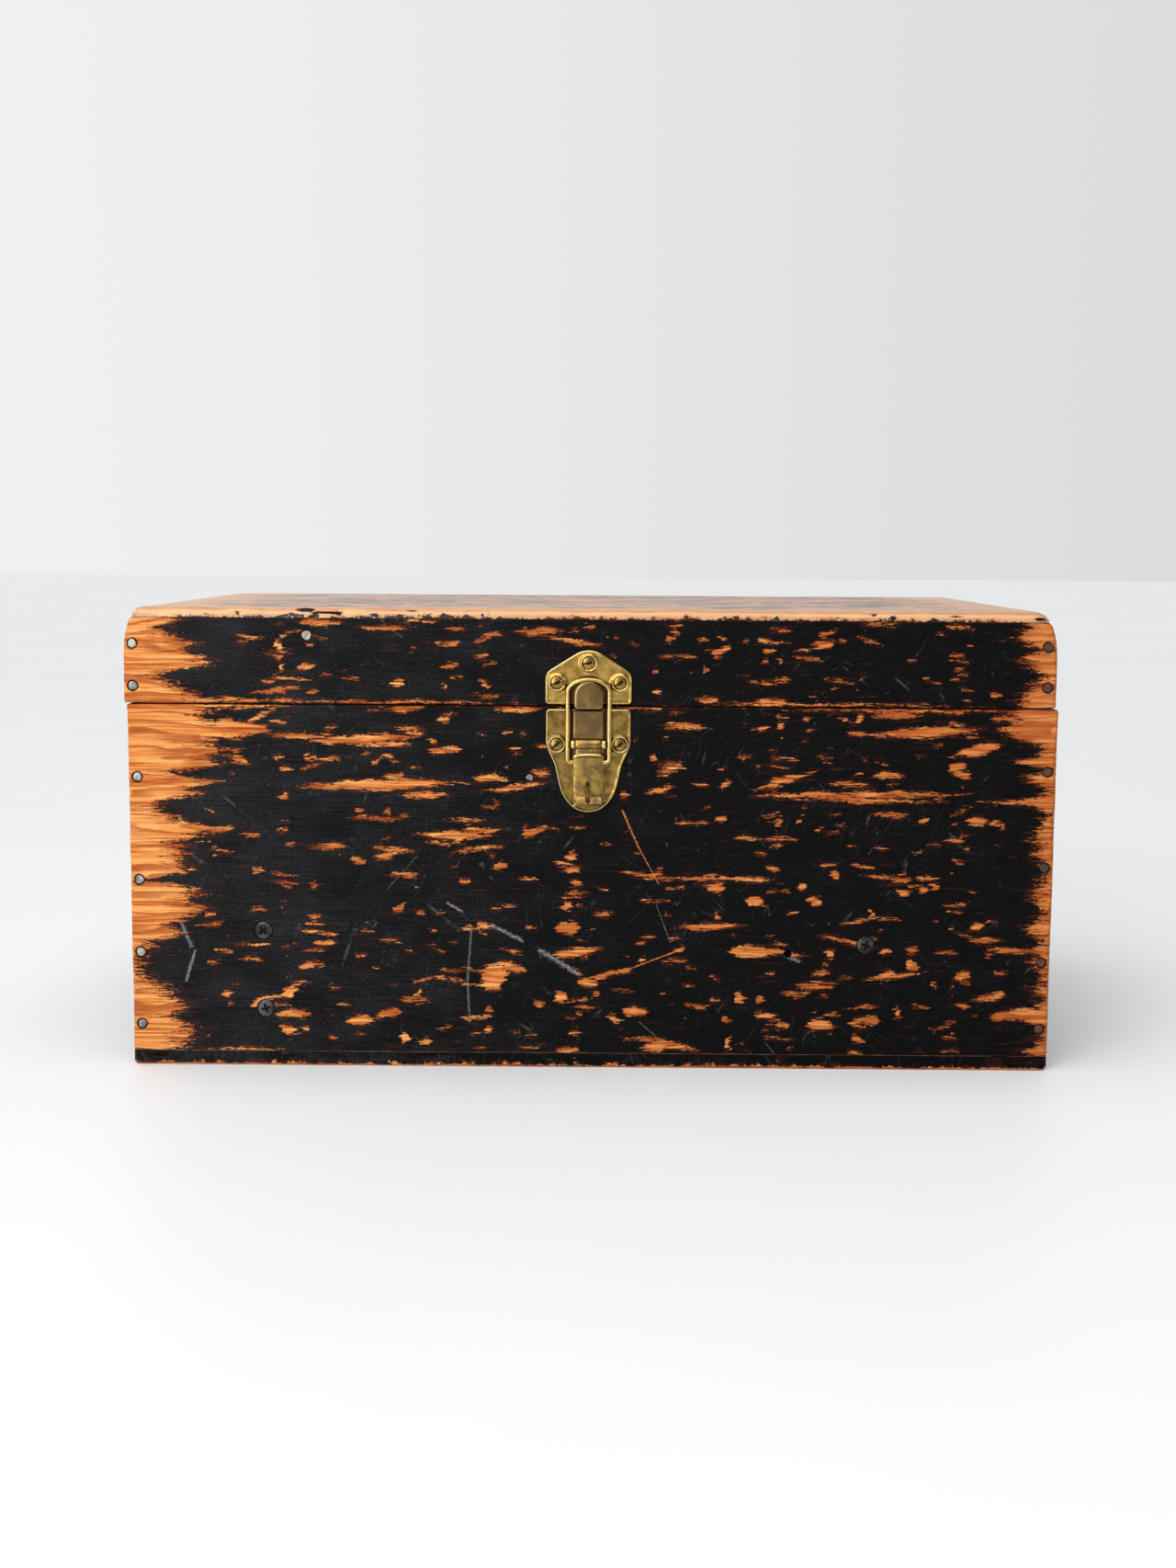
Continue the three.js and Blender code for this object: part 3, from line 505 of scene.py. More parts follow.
UPPER_PATCHES = [
    (-210, 200.4, 46, 1.6, 0), (-40.7, 199.6, 13.5, 1.8, 0.03), (-102, 199.4, 12, 1.6, 0.03),
    (-80.7, 193.5, 4, 1.8, 0), (-100, 189, 8.5, 0.9, 0), (-179, 196, 8, 1.5, 0.5),
    (-200, 188, 27, 5, -0.02), (-160, 184.3, 17, 1.6, 0), (-126, 182.7, 32, 2.6, 0.06),
    (-112, 180, 15, 1.4, 0.03), (-87, 181.8, 3.4, 1.3, 0), (-80.7, 176.7, 8.5, 1.9, 0.1),
    (-194, 175.9, 3.5, 1.3, 0), (-191.6, 170, 5, 1.6, -0.3), (-170.7, 172, 2, 1.6, 0),
    (-168, 166.7, 3.2, 1.3, 0), (-169, 151.6, 2, 1.6, 0), (-154, 173.4, 1.4, 3, 0),
    (-124, 175, 3.3, 1, 0), (-118, 170.4, 2, 1.2, 0), (-108, 162.5, 6.5, 1.6, 0),
    (-54.8, 161.3, 10, 1.6, 0), (-28, 165, 5.5, 1.9, 0), (-115.7, 157.5, 47, 3.2, 0.03),
    (-92.4, 152, 12, 2, 0), (-42.3, 156.6, 18, 1.3, 0.15), (-127.4, 143.7, 4, 1.2, 0),
    (-112, 143.2, 2.2, 1.2, 0), (-117, 139, 15, 1.1, 0), (-69, 138.5, 10, 0.6, 0),
    (-75.7, 130, 20.5, 2.8, -0.02), (-32.3, 131.8, 6.5, 1.9, 0.25), (-204, 132, 9, 1.6, 0.2),
    (-187, 129, 6, 1.2, 0), (51.4, 190.7, 12.5, 1.4, -0.05), (92.3, 190.2, 4.5, 1.7, 0.1),
    (101.8, 191.6, 2.4, 1.3, 0), (117, 195, 2.8, 1.2, 0), (102.6, 184.9, 1.2, 1.3, 0),
    (136.4, 194.6, 1.4, 1.5, 0), (146, 195.4, 2, 2, 0.5), (164, 197.3, 14, 1.8, 0), (144, 187.7, 5, 1, 0),
    (182, 188.2, 30, 3, 0.05), (210.6, 179, 13, 3, 0.2), (199.5, 169.3, 5, 2, 0.25),
    (203.5, 165, 4, 1.9, -0.2), (162.3, 164.5, 9, 1.8, 0), (141.5, 159.8, 11.5, 1.3, 0),
    (147, 153.9, 58, 1.8, 0.01), (147, 151, 44, 1.2, -0.02), (230.6, 150.6, 18, 0.9, 0),
    (37.2, 155.9, 7.5, 1.3, 0.2), (18, 152.7, 3, 1.8, 0), (73, 159.3, 2.8, 1.8, 0.6),
    (33, 172.7, 2.6, 1.8, 0), (71.4, 167.6, 2, 1, 0), (70.6, 139.7, 4, 1.5, 0.2),
    (51.4, 137.5, 4.5, 0.7, 0), (103, 137.6, 3, 1, 0.2), (114, 139, 2.2, 0.9, 0),
    (211.5, 139.2, 6, 2.2, 0), (221.5, 139.5, 2.4, 1.6, 0), (225.6, 136.8, 2.3, 1.8, 0),
    (182.3, 139.7, 2, 1.8, 0), (200.3, 128.8, 3.6, 1.2, 0), (126.4, 134.3, 1.4, 1.6, 0),
    (170, 200.2, 62, 1.0, 0), (20, 200.4, 20, 0.7, 0),
]
LOWER_PATCHES = [
    (-145, 123.2, 11, 1.8, 0.02), (-128, 115.8, 5, 1.8, -0.1), (-113, 118.5, 6.5, 1.7, 0.15),
    (-152.4, 101.7, 2, 2.4, 0), (-184, 109.4, 3.5, 1.3, 0), (-185, 88, 4.5, 1, 0),
    (-106, 89.2, 4, 2.2, 0.3), (-152.5, 84.5, 4.5, 1.1, 0), (-152.5, 80.3, 5.5, 1, 0),
    (-154, 75.7, 6.5, 0.9, 0), (-145.7, 69.5, 6, 1.3, 0.05), (-187, 68.3, 10, 0.6, 0),
    (-156.6, 56.3, 4, 2, 0.2), (-150, 57, 2.5, 1, 0), (-50.7, 112.9, 3.7, 2, 0), (-70, 104.3, 4, 1.2, 0),
    (-10.7, 118.9, 4, 2, 0.3), (-10, 111, 4.5, 1.4, 0), (-8, 104, 2.5, 1.6, 0), (-8.5, 99, 2, 1.2, 0),
    (-14, 91, 2.5, 2.6, 0), (-12.3, 78.6, 6.5, 3.8, 0), (-68, 78.5, 2.6, 1.6, 0),
    (-58.4, 79.5, 4, 1.8, -0.2), (-53.2, 52, 7.5, 5.4, 0), (-44, 56.3, 8, 2.4, -0.3), (-55, 46, 6, 3, 0),
    (-1.5, 48, 6, 2.3, 0), (-17.3, 40, 4.2, 3, 0), (-28, 35.7, 3, 1.8, -0.3), (-56.5, 32.3, 3, 1.5, 0),
    (-56.5, 22, 2.4, 1.6, 0), (-9, 19.4, 3.5, 1.2, 0), (-98, 37.7, 9, 1.4, 0), (-95, 42.5, 1.5, 3, 0),
    (-128.2, 26, 8, 2.8, 0.03), (-112.4, 29.3, 7, 2.2, 0.15), (-180, 36.5, 9, 2, 0.35),
    (-166.6, 41.7, 3.5, 3.6, 0.5), (-164, 29.3, 10, 2.4, 0), (-167.4, 20.2, 5, 2.6, 0),
    (-158, 21, 2.5, 1.3, 0), (-201.6, 40.3, 3.5, 2, 0.2), (-144, 16, 3, 1.2, 0), (-103, 16, 3, 3, 0),
    (-91, 13.9, 4.2, 1.6, 0), (-12.3, 9.2, 6, 1.8, 0), (-192, 9, 20, 0.9, 0), (99.7, 112.7, 4, 1.3, 0),
    (63.9, 106.7, 33, 0.8, 0), (85.6, 106.7, 11, 1.4, -0.05), (68.9, 101.9, 6, 2.4, 0),
    (49.7, 101.6, 2.3, 1, 0), (89.4, 94.7, 5, 2.6, 0), (68.9, 86.5, 2.4, 2, 0),
    (116.4, 102.4, 3.5, 1.8, -0.3), (123, 94.4, 4, 2.1, -0.2), (134.8, 109.3, 3.2, 1.6, 0),
    (171.4, 106.7, 6, 1.2, 0), (185.6, 107.6, 5.5, 1.4, 0), (182.3, 101.6, 2.4, 2.4, 0),
    (189, 103.3, 2.6, 2, 0), (171.4, 99.8, 4.6, 1.7, -0.1), (65.6, 80.1, 18, 1.9, 0.04),
    (88, 65.9, 12, 3.6, 0), (147.3, 83.6, 9, 1.1, 0.25), (154.8, 88.7, 1.4, 2, 0), (132.3, 65, 3, 2.4, 0),
    (163, 66.4, 4, 1.6, 0), (155.6, 73.8, 3.2, 0.9, 0), (178.1, 68.1, 3.6, 1.8, 0),
    (212.3, 81, 3.8, 2, 0.1), (217.3, 73.3, 10.5, 1.6, 0), (233, 67.3, 8, 1.6, 0),
    (163.9, 54, 4, 2.8, 0.3), (177.8, 59.2, 3.5, 2.8, -0.3), (205.6, 53, 5, 2, 0.2),
    (190.6, 48.4, 1.6, 2, 0), (27.2, 70.7, 3, 1.2, 0), (28, 62, 2, 1.6, 0), (12, 53, 12, 1.4, 0.25),
    (48, 66, 5, 1.0, 0.35), (3, 41.5, 2.4, 1.8, 0), (13, 27.8, 3.6, 2.2, -0.4), (24.7, 32.1, 7.5, 2.4, 0),
    (34.7, 11, 6.5, 2.4, 0), (69, 51, 3, 1.2, -0.6), (69, 39, 3.2, 1, 0), (82.2, 39.8, 3, 3, 0),
    (94, 39, 3, 2.4, 0), (113, 42.7, 7.5, 1.3, 0), (97.2, 30, 6.5, 1.8, 0), (105.6, 24.4, 4.6, 1.4, 0),
    (75, 27.3, 2.3, 1.5, 0), (127.2, 25.2, 7.6, 2.8, 0), (149, 27.3, 6, 1.8, 0.25),
    (156.4, 27.8, 4, 2.8, 0), (149, 17, 3.4, 1.8, -0.3), (77, 14, 1.5, 4.5, 0), (170.6, 32, 1.6, 4, 0),
    (220.6, 41, 9, 1.6, 0.05), (226.4, 42.7, 3.6, 2.2, 0), (206.4, 36.7, 2.8, 1.8, -0.3),
    (236, 31.5, 14, 3, 0.1),
]
FLECK_COLUMNS = (-168.7, -60.6, -8, 42.5, 101, 130.5, 200)
UNWORN = -4.0


def patch_measure(x, z, patch):
    """How far inside a worn patch each point lies: short patches are blunt, long ones taper."""
    middle_x, middle_z, half_length, half_height, slope = patch
    along = np.abs(x - middle_x) / half_length
    taper = 1.6 + 5 * math.exp(-half_length / 7)
    return half_height * (1 - along**taper) - np.abs(z - middle_z - slope * (x - middle_x))


def warped(right, up, seed, strength=1.0):
    """The places of a side, pushed about so that shapes laid over them get ragged, streaky outlines."""
    x, z = np.meshgrid(right, up, indexing="ij")
    rows = spread(x / 9, z / 0.9)
    waves = spread(x / 8, z / 4)
    pushed_x = x + strength * 6.5 * (fractal(rows, seed) - 0.5)
    pushed_z = z + strength * 2.6 * (fractal(waves, seed + 4) - 0.5)
    return pushed_x, pushed_z


def lay_patches(field, x, z, patches):
    """Raises the wear field to each patch's own measure within reach of it."""
    margin = 5.0
    columns_x, rows_z = x.mean(axis=1), z.mean(axis=0)
    for patch in patches:
        wide = patch[2] + margin
        tall = patch[3] + abs(patch[4]) * patch[2] + margin
        columns = slice(*np.searchsorted(columns_x, (patch[0] - wide, patch[0] + wide)))
        rows = slice(*np.searchsorted(rows_z, (patch[1] - tall, patch[1] + tall)))
        measure = patch_measure(x[columns, rows], z[columns, rows], patch)
        field[columns, rows] = np.maximum(field[columns, rows], measure)
    return field


def flecks(seed, count, low, high, columns=()):
    """Small worn flecks scattered over an area from low to high, some of them in upright columns."""
    rng = np.random.default_rng(seed)
    found = []
    for _ in range(count):
        x = rng.uniform(low[0], high[0])
        if columns and rng.random() < 0.35:
            x = rng.choice(columns) + rng.normal(0, 2.4)
        size = rng.lognormal(0.1, 0.65)
        found.append((x, rng.uniform(low[1], high[1]), size * rng.uniform(1.0, 3.4), 0.1 + 0.26 * size,
                      rng.normal(0, 0.12)))
    return found


# How steeply wear falls away from the bare wood at each end of the front, and how ragged those ends are.
LEFT_FALL = 0.16
RIGHT_FALL = 0.22
FRINGE = 13


def front_wear(right, up):
    """The front's wear in millimetres: above zero the paint has gone."""
    x, z = warped(right, up, 7)
    heights, reaches = zip(*LEFT_REACH)
    fringe = FRINGE * (fractal(spread(z / 1.5, x / 40), 5) - 0.5)
    left = np.interp(z, heights, reaches) + fringe - (x - LEFT_X)
    heights, reaches = zip(*RIGHT_REACH)
    right_side = np.interp(z, heights, reaches) * 0.9 + 0.7 * fringe - (RIGHT_X - x)
    field = np.maximum(np.maximum(left * LEFT_FALL, right_side * RIGHT_FALL), UNWORN)
    field = lay_patches(field, x, z, LID_PATCHES + UPPER_PATCHES + LOWER_PATCHES)
    small = flecks(21, 600, (LEFT_X + 30, 9), (RIGHT_X - 20, 246), FLECK_COLUMNS)
    return lay_patches(field, x, z, small)


def plain_wear(seed, end_reach=22.0, edge_reach=2.0, density=1.0):
    """Wear for a side that the same hands and years have rubbed: ragged ends, edges and flecks."""

    def wear(right, up):
        x, z = warped(right, up, seed)
        inward = np.minimum(x - right[0], right[-1] - x)
        teeth = 1.9 * end_reach * fractal(spread(z / 5.5, x / 90), seed, 4) ** 1.6
        field = np.maximum((teeth - inward) * 0.2, UNWORN)
        rim = np.minimum(z - up[0], up[-1] - z)
        uneven = fractal(spread(x / 24, z / 40), seed + 9)
        rim_reach = 2 * edge_reach * uneven - 0.2 * edge_reach
        field = np.maximum(field, rim_reach - rim)
        area = (right[-1] - right[0]) * (up[-1] - up[0])
        small = flecks(seed, int(density * area / 240), (right[0], up[0]), (right[-1], up[-1]))
        rng = np.random.default_rng(seed + 50)
        for _ in range(int(density * area / 4200)):
            long = rng.uniform(8, 34)
            small.append((rng.uniform(right[0], right[-1]), rng.uniform(up[0], up[-1]), long,
                          0.6 + long * 0.06, rng.normal(0, 0.03)))
        return lay_patches(field, x, z, small)

    return wear


# ---------------------------------------------------------------- plywood pieces

# Places of the grid lines near an edge, and of the rings down a sheet's sides. INNER_RIM is the narrow last
# strip of a side, where the paint ends and the bare inner face begins.
RIM_LINES = np.array([0, 0.25, 0.6, 1.1, 1.8, 2.7, 3.8, 5.2])
SIDE_RINGS = (*RIM_LINES[1:], 6.5, 9.5)
INNER_RIM = 0.05
# How far a worn sheet's corners pull in: up to this far below its top edge and in from its ends.
SHOULDER = 18
END_REACH = 30

# Heads that show on the front, and what has no CAD node there: spare nails as (x, z), radius and depth.
NAIL_RADIUS = 2.65
SCREW_RADIUS = 4.7
SPARE_NAILS = [((-155.5, 239), 2.8, 0.5), ((-34, 162), 2.2, 0.3)]
EMPTY_HOLE = (109, 65)
EMPTY_HOLE_RADIUS = 1.9
EMPTY_HOLE_DEPTH = 9.0

# Rotten or splintered places: middle (x, z), half length, half height, depth.
LID_PITS = [
    ((-192, 250.8), 1.9, 1.1, 2.0), ((-156, 252.6), 6, 1.3, 1.6), ((-146, 251.2), 9, 0.8, 1.4),
    ((-138.5, 250.9), 3.6, 1.1, 2.6), ((-150, 250.2), 2.2, 1.0, 1.8), ((-106.7, 246.5), 0.5, 1.9, 0.9),
    ((-98, 252.4), 4, 0.5, 0.8), ((-64, 250.5), 1.2, 0.5, 0.8), ((-2.5, 249.4), 1.0, 0.9, 1.6),
    ((77, 249.9), 2.0, 0.6, 1.2), ((152, 251.8), 1.6, 0.8, 1.4), ((243, 250.0), 5, 0.8, 1.8),
    ((249, 251.6), 2.5, 0.9, 1.6), ((-232, 247.2), 8, 0.3, 0.5), ((197, 251), 6, 0.5, 0.8),
]
BASE_PITS = [
    ((-91, 5.6), 9, 1.2, 1.8), ((-80, 6.4), 3, 0.7, 2.0), ((-240, 5.4), 6, 1.1, 1.8),
    ((-246, 7.4), 4, 0.7, 1.4), ((243, 4.6), 7, 1.6, 2.2), ((236, 3.0), 9, 0.7, 1.6),
    ((249, 7.0), 3, 1.1, 1.8), ((150, 2.2), 3, 0.6, 1.0), ((30, 2.4), 2, 0.6, 1.0),
    ((-170, 2.6), 5, 0.5, 1.0), ((228, 7.8), 6, 0.4, 1.2),
]


def front_pockets():
    """Middle (x, z), radius and depth of each pocket in the front."""
    pockets = []
    for node in SLOT_OF:
        middle = node_middle(node)
        if "_nail_" in node:
            pockets.append(((middle[0], middle[2]), NAIL_RADIUS + 0.25, 0.8))
        if node.startswith("cleat_screw"):
            pockets.append(((middle[0], middle[2]), SCREW_RADIUS + 0.3, 1.1))
    pockets += [(place, radius + 0.2, depth) for place, radius, depth in SPARE_NAILS]
    return pockets + [(EMPTY_HOLE, EMPTY_HOLE_RADIUS, EMPTY_HOLE_DEPTH)]


def grid_lines(start, length, step, around=()):
    """Places along a side, close together near its two ends and across each pocket."""
    last = RIM_LINES[-1]
    inner = np.linspace(last, length - last, max(2, round((length - 2 * last) / step) + 1))
    lines = [RIM_LINES[:-1], inner, length - RIM_LINES[:-1][::-1]]
    for place, radius in around:
        local = place - start + np.arange(-radius - 0.6, radius + 0.61, 0.55)
        lines.append(local[(local > 0.2) & (local < length - 0.2)])
    lines = np.sort(np.concatenate(lines))
    kept = [lines[0]]
    for line in lines[1:-1]:
        if line - kept[-1] > 0.2 and lines[-1] - line > 0.2:
            kept.append(line)
    return np.array([*kept, lines[-1]])


def by_edge(across, up, size, values, reach):
    """One value for each edge (left, right, low, high), blended by how near each point is to them."""
    distances = (across, size[0] - across, up, size[1] - up)
    weights = [np.exp(-distance / reach) + 1e-12 for distance in distances]
    return sum(weight * value for weight, value in zip(weights, values)) / sum(weights)


def rim_radius(across, up, size, rims, seed):
    """How far the rim is rounded over near each point: each edge has its own radius, worn unevenly."""
    uneven = fractal(spread(across / 16, up / 16), seed)
    return np.maximum(by_edge(across, up, size, rims, 4.0) * (0.6 + 0.8 * uneven), 0.1)


def round_over(place, size, radius, chip, squash):
    """Moves points of a slab's surface onto a rounded and chipped outer rim; squash flattens the rim."""
    across, up, depth = place.T
    depth = depth * squash
    core = np.stack([
        np.clip(across, radius, size[0] - radius), np.clip(up, radius, size[1] - radius),
        np.maximum(depth, radius),
    ], axis=1)
    out = np.column_stack([across, up, depth]) - core
    length = np.maximum(np.linalg.norm(out, axis=1), 1e-9)
    on_rim = 1 - np.max(np.abs(out), axis=1) / length
    kept = np.minimum(length, radius) - chip * np.clip(on_rim * 4, 0, 1) * np.minimum(radius, 3) / 3
    moved = core + out * (np.maximum(kept, 0.05) / length)[:, None]
    moved[:, 2] /= squash
    return moved


def slab_faces(columns, rows, rings):
    """Faces of a slab: a grid outside, rings of quads down its sides and one face inside."""
    index = np.arange(columns * rows).reshape(columns, rows)
    quads = np.stack([index[:-1, :-1], index[1:, :-1], index[1:, 1:], index[:-1, 1:]], axis=-1).reshape(-1, 4)
    faces = quads.tolist()
    loop = np.concatenate([index[:, 0], index[-1, 1:], index[-2::-1, -1], index[0, -2:0:-1]])
    upper = loop
    for ring in range(rings):
        lower = columns * rows + ring * len(loop) + np.arange(len(loop))
        side = np.stack([upper, lower, np.roll(lower, -1), np.roll(upper, -1)], axis=-1)
        faces += side.tolist()
        upper = lower
    faces.append(upper[::-1].tolist())
    return faces, loop


def pit_field(points, pits):
    """How rotten each point is, from 0 to 1, and how deep it has sunk, for points near the front."""
    rotten = np.zeros(len(points))
    sunk = np.zeros(len(points))
    near = points[:, 1] < FRONT_Y + 9
    for (x, z), half_length, half_height, depth in pits:
        away = np.hypot((points[:, 0] - x) / half_length, (points[:, 2] - z) / half_height)
        inside = np.where(near, 1 - smooth(away, 0.3, 1.15), 0)
        rotten = np.maximum(rotten, inside)
        sunk = np.maximum(sunk, inside * depth)
    return rotten, sunk


def plywood(node, facing, material, wear, steps=(6.0, 2.0), rims=(2.5, 2.5, 1.0, 1.0), plies=5, panel=0,
            chip=1.0, pockets=(), pits=(), squash=1.0, sides=(0.6,) * 4, fades=(0.22,) * 4,
            inset=0.0, taper=0.0, lean=0.0, end_bare=0.0):
    """One sheet of plywood in place of its CAD node: worn rims, pockets, wear field and ply layers."""
    right, up, out = FACINGS[facing]
    (r0, r1), (u0, u1), (o0, o1) = (span(node, axis) for axis in (right, up, out))
    size = (r1 - r0, u1 - u0, o1 - o0)
    held = [pocket for pocket in pockets if r0 < pocket[0][0] < r1 and u0 < pocket[0][1] < u1]
    across = grid_lines(r0, size[0], steps[0], [(place[0], radius) for place, radius, _ in held])
    above = grid_lines(u0, size[1], steps[1], [(place[1], radius) for place, radius, _ in held])
    grid = np.stack(np.meshgrid(across, above, indexing="ij"), axis=-1).reshape(-1, 2)
    depths = [d for d in SIDE_RINGS if d < size[2] - 0.6]
    depths += [size[2] - INNER_RIM, size[2]]
    faces, loop = slab_faces(len(across), len(above), len(depths))
    flat = np.concatenate([grid, *[grid[loop]] * len(depths)])
    depth = np.concatenate([np.zeros(len(grid)), *[np.full(len(loop), d) for d in depths]])
    place = np.column_stack([flat, depth])

    radius = rim_radius(flat[:, 0], flat[:, 1], size, rims, 100 + panel)
    seen = np.column_stack([flat + (r0, u0), depth])
    fine = fractal(seen / (4.0, 2.5, 4.0), 200 + panel, 4)
    radius = np.minimum(radius, size[2] * squash - 0.7)
    moved = round_over(place, size, radius, chip * np.clip(fine * 2.2 - 0.75, 0, 1.2), squash)
    from_end = np.minimum(flat[:, 0], size[0] - flat[:, 0])
    shoulder = np.clip((flat[:, 1] - size[1] + SHOULDER) / SHOULDER, 0, 1) ** 2
    pull = (inset + taper * shoulder) * np.clip(1 - from_end / END_REACH, 0, 1)
    moved[:, 0] += np.where(flat[:, 0] < size[0] / 2, pull, -pull)
    moved[:, 2] += lean * shoulder * (1 - depth / size[2])
    rust = np.zeros(len(flat))
    for (x, z), pocket_radius, pocket_depth in held:
        away = np.hypot(flat[:, 0] + r0 - x, flat[:, 1] + u0 - z)
        outside = depth == 0
        sunk = pocket_depth * (1 - smooth(away, pocket_radius - 0.3, pocket_radius + 0.3))
        moved[:, 2] += np.where(outside, sunk, 0)
        # A dark ring round each pocket and over its floor: rust, and painted shade in the recess.
        ring = 0.6 * (1 - smooth(away, pocket_radius, pocket_radius + 0.7))
        rust = np.maximum(rust, np.where(outside, ring, 0))
    points = (moved[:, :1] + r0) * np.array(right) + (moved[:, 1:2] + u0) * np.array(up)
    points = points + (o1 - moved[:, 2:]) * np.array(out)
    rotten, sunk = pit_field(points, pits)
    points[:, 1] += sunk * (0.5 + fine)

    field = wear(across + r0, above + u0).reshape(-1)
    field = np.concatenate([field, *[field[loop]] * len(depths)])
    side = depth > 0
    start, fade = (by_edge(flat[:, 0], flat[:, 1], size, values, 0.4) for values in (sides, fades))
    on_side = start - fade * depth
    on_side = on_side + end_bare * np.exp(-from_end / 12) + 1.6 * (fine - 0.5)
    field = np.where(side, on_side, field)
    rim = np.minimum(from_end, np.minimum(flat[:, 1], size[1] - flat[:, 1]))
    rubbed = 1.1 * (radius - 0.7) * (0.35 + fine) - 1.8 * rim
    field = np.maximum(field, np.where(side, UNWORN, rubbed))
    attributes = {
        "grain": np.column_stack([seen[:, :2], depth + 60 * panel]),
        "wear": np.clip(field, UNWORN, 4),
        "raw": (depth >= size[2] - 0.01).astype(float),
        "edge": np.clip(depth / 0.6, 0, 1) * (depth < size[2] - 0.01),
        "ply": depth * plies / size[2],
        "rot_rust_and_shade": np.maximum(rotten, rust),
    }
    stand_for(make_mesh(node + "_worn", points, faces, material, attributes, sharp=50), node)


def lid_top_wear(right, up):
    """Wear that has rubbed most of the lid's top edges bare and left paint between them."""
    field = plain_wear(41, 40, 14, 1.8)(right, up)
    return field + 0.3


# How fast the paint comes back across each edge (left, right, low, high); the seam's edge goes bare inwards.
BASE_FADES = (0.22, 0.22, 0.22, -0.6)
LID_FADES = (0.22, 0.22, -0.6, 0.22)


def add_carcass():
    front = painted_plywood("front_paint_and_fir", FRONT_SCUFFS)
    paint = painted_plywood("paint_and_fir")
    # The top's bare wood is paled, partly as a painted glare.
    top = painted_plywood("rubbed_top_paint", wear_shift=3.3, gloss=0.75, bleach_and_glare=0.45)
    fine = (2.3, 1.1)
    pockets = front_pockets()
    plywood("base_front", "front", front, front_wear, fine, (2.4, 2.4, 0.15, 0.25), panel=0, chip=1.6,
            pockets=pockets, sides=(2.6, 2.6, -2, -1.5), fades=BASE_FADES)
    plywood("lid_front", "front", front, front_wear, fine, (2.4, 2.4, 0.4, 0.15), panel=0, chip=1.6,
            pockets=pockets, sides=(2.6, 2.6, -1.5, -2), fades=LID_FADES, taper=4.0)
    for panel, (name, facing) in enumerate((("back", "back"), ("left", "left"), ("right", "right")), start=1):
        ends = 2.6 if name == "back" else 0.3
        wear = plain_wear(30 + panel, 20 if name == "back" else 12)
        shape = {"taper": 4.0} if name == "back" else {"lean": 4.0}
        plywood(f"base_{name}", facing, paint, wear, rims=(ends, ends, 0.2, 0.6), panel=panel,
                sides=(0.6, 0.6, 0.6, -0.5), fades=BASE_FADES)
        plywood(f"lid_{name}", facing, paint, wear, rims=(ends, ends, 0.5, 0.2), panel=panel,
                sides=(0.6, 0.6, -0.5, 0.6), fades=LID_FADES, **shape)
    plywood("lid_top", "top", top, lid_top_wear, (2.5, 2.5), (14.0, 13.0, 6.5, 6.5), 3, panel=4, chip=1.5,
            pits=LID_PITS, squash=2.3, sides=(3.6, 3.6, 1.2, 1.2), fades=[0.85] * 4, inset=2.8, end_bare=3.5)
    plywood("bottom_panel", "bottom", paint, plain_wear(45, 26, 5), (3, 4), (2.8, 2.8, 1.6, 1.6), 5, panel=5,
            chip=1.3, pits=BASE_PITS, sides=[0.9] * 4, fades=[0.7] * 4)


# ---------------------------------------------------------------- pressed sheet and turned heads


def rounded_rectangle(half_width, low, high, radius, count=160):
    """Points around a rectangle with rounded corners, anticlockwise, evenly spaced."""
    middle, half_height = (low + high) / 2, (high - low) / 2
    corners = [(half_width, -half_height), (half_width, half_height), (-half_width, half_height),
               (-half_width, -half_height)]
    return resample(rounded_corners([(x, y + middle) for x, y in corners], radius), count)


def rounded_corners(corners, radii, steps=8):
    """A closed outline through the corners, each rounded by an arc that starts its radius away."""
    corners = [np.array(corner, float) for corner in corners]
    radii = [radii] * len(corners) if np.isscalar(radii) else radii
    found = []
    for index, corner in enumerate(corners):
        before = corners[index - 1] - corner
        after = corners[(index + 1) % len(corners)] - corner
        reach = min(radii[index], 0.48 * np.linalg.norm(before), 0.48 * np.linalg.norm(after))
        start = corner + before / np.linalg.norm(before) * reach
        end = corner + after / np.linalg.norm(after) * reach
        for share in np.linspace(0, 1, steps):
            found.append((1 - share) ** 2 * start + 2 * share * (1 - share) * corner + share**2 * end)
    return np.array(found)


def resample(outline, count):
    closed = np.vstack([outline, outline[:1]])
    lengths = np.concatenate([[0], np.cumsum(np.linalg.norm(np.diff(closed, axis=0), axis=1))])
    places = np.linspace(0, lengths[-1], count, endpoint=False)
    return np.column_stack([np.interp(places, lengths, closed[:, k]) for k in (0, 1)])


def circle(radius, count=48, middle=(0, 0)):
    angles = np.linspace(0, 2 * np.pi, count, endpoint=False)
    return np.column_stack([middle[0] + radius * np.cos(angles), middle[1] + radius * np.sin(angles)])


def edge_distance(points, outline):
    """How far each point inside lies from a closed outline."""
    starts, ends = outline, np.roll(outline, -1, axis=0)
    along = ends - starts
    best = np.full(len(points), 1e9)
    for start, step in zip(starts, along):
        share = np.clip(((points - start) @ step) / (step @ step), 0, 1)
        best = np.minimum(best, np.linalg.norm(points - start - share[:, None] * step, axis=1))
    return best


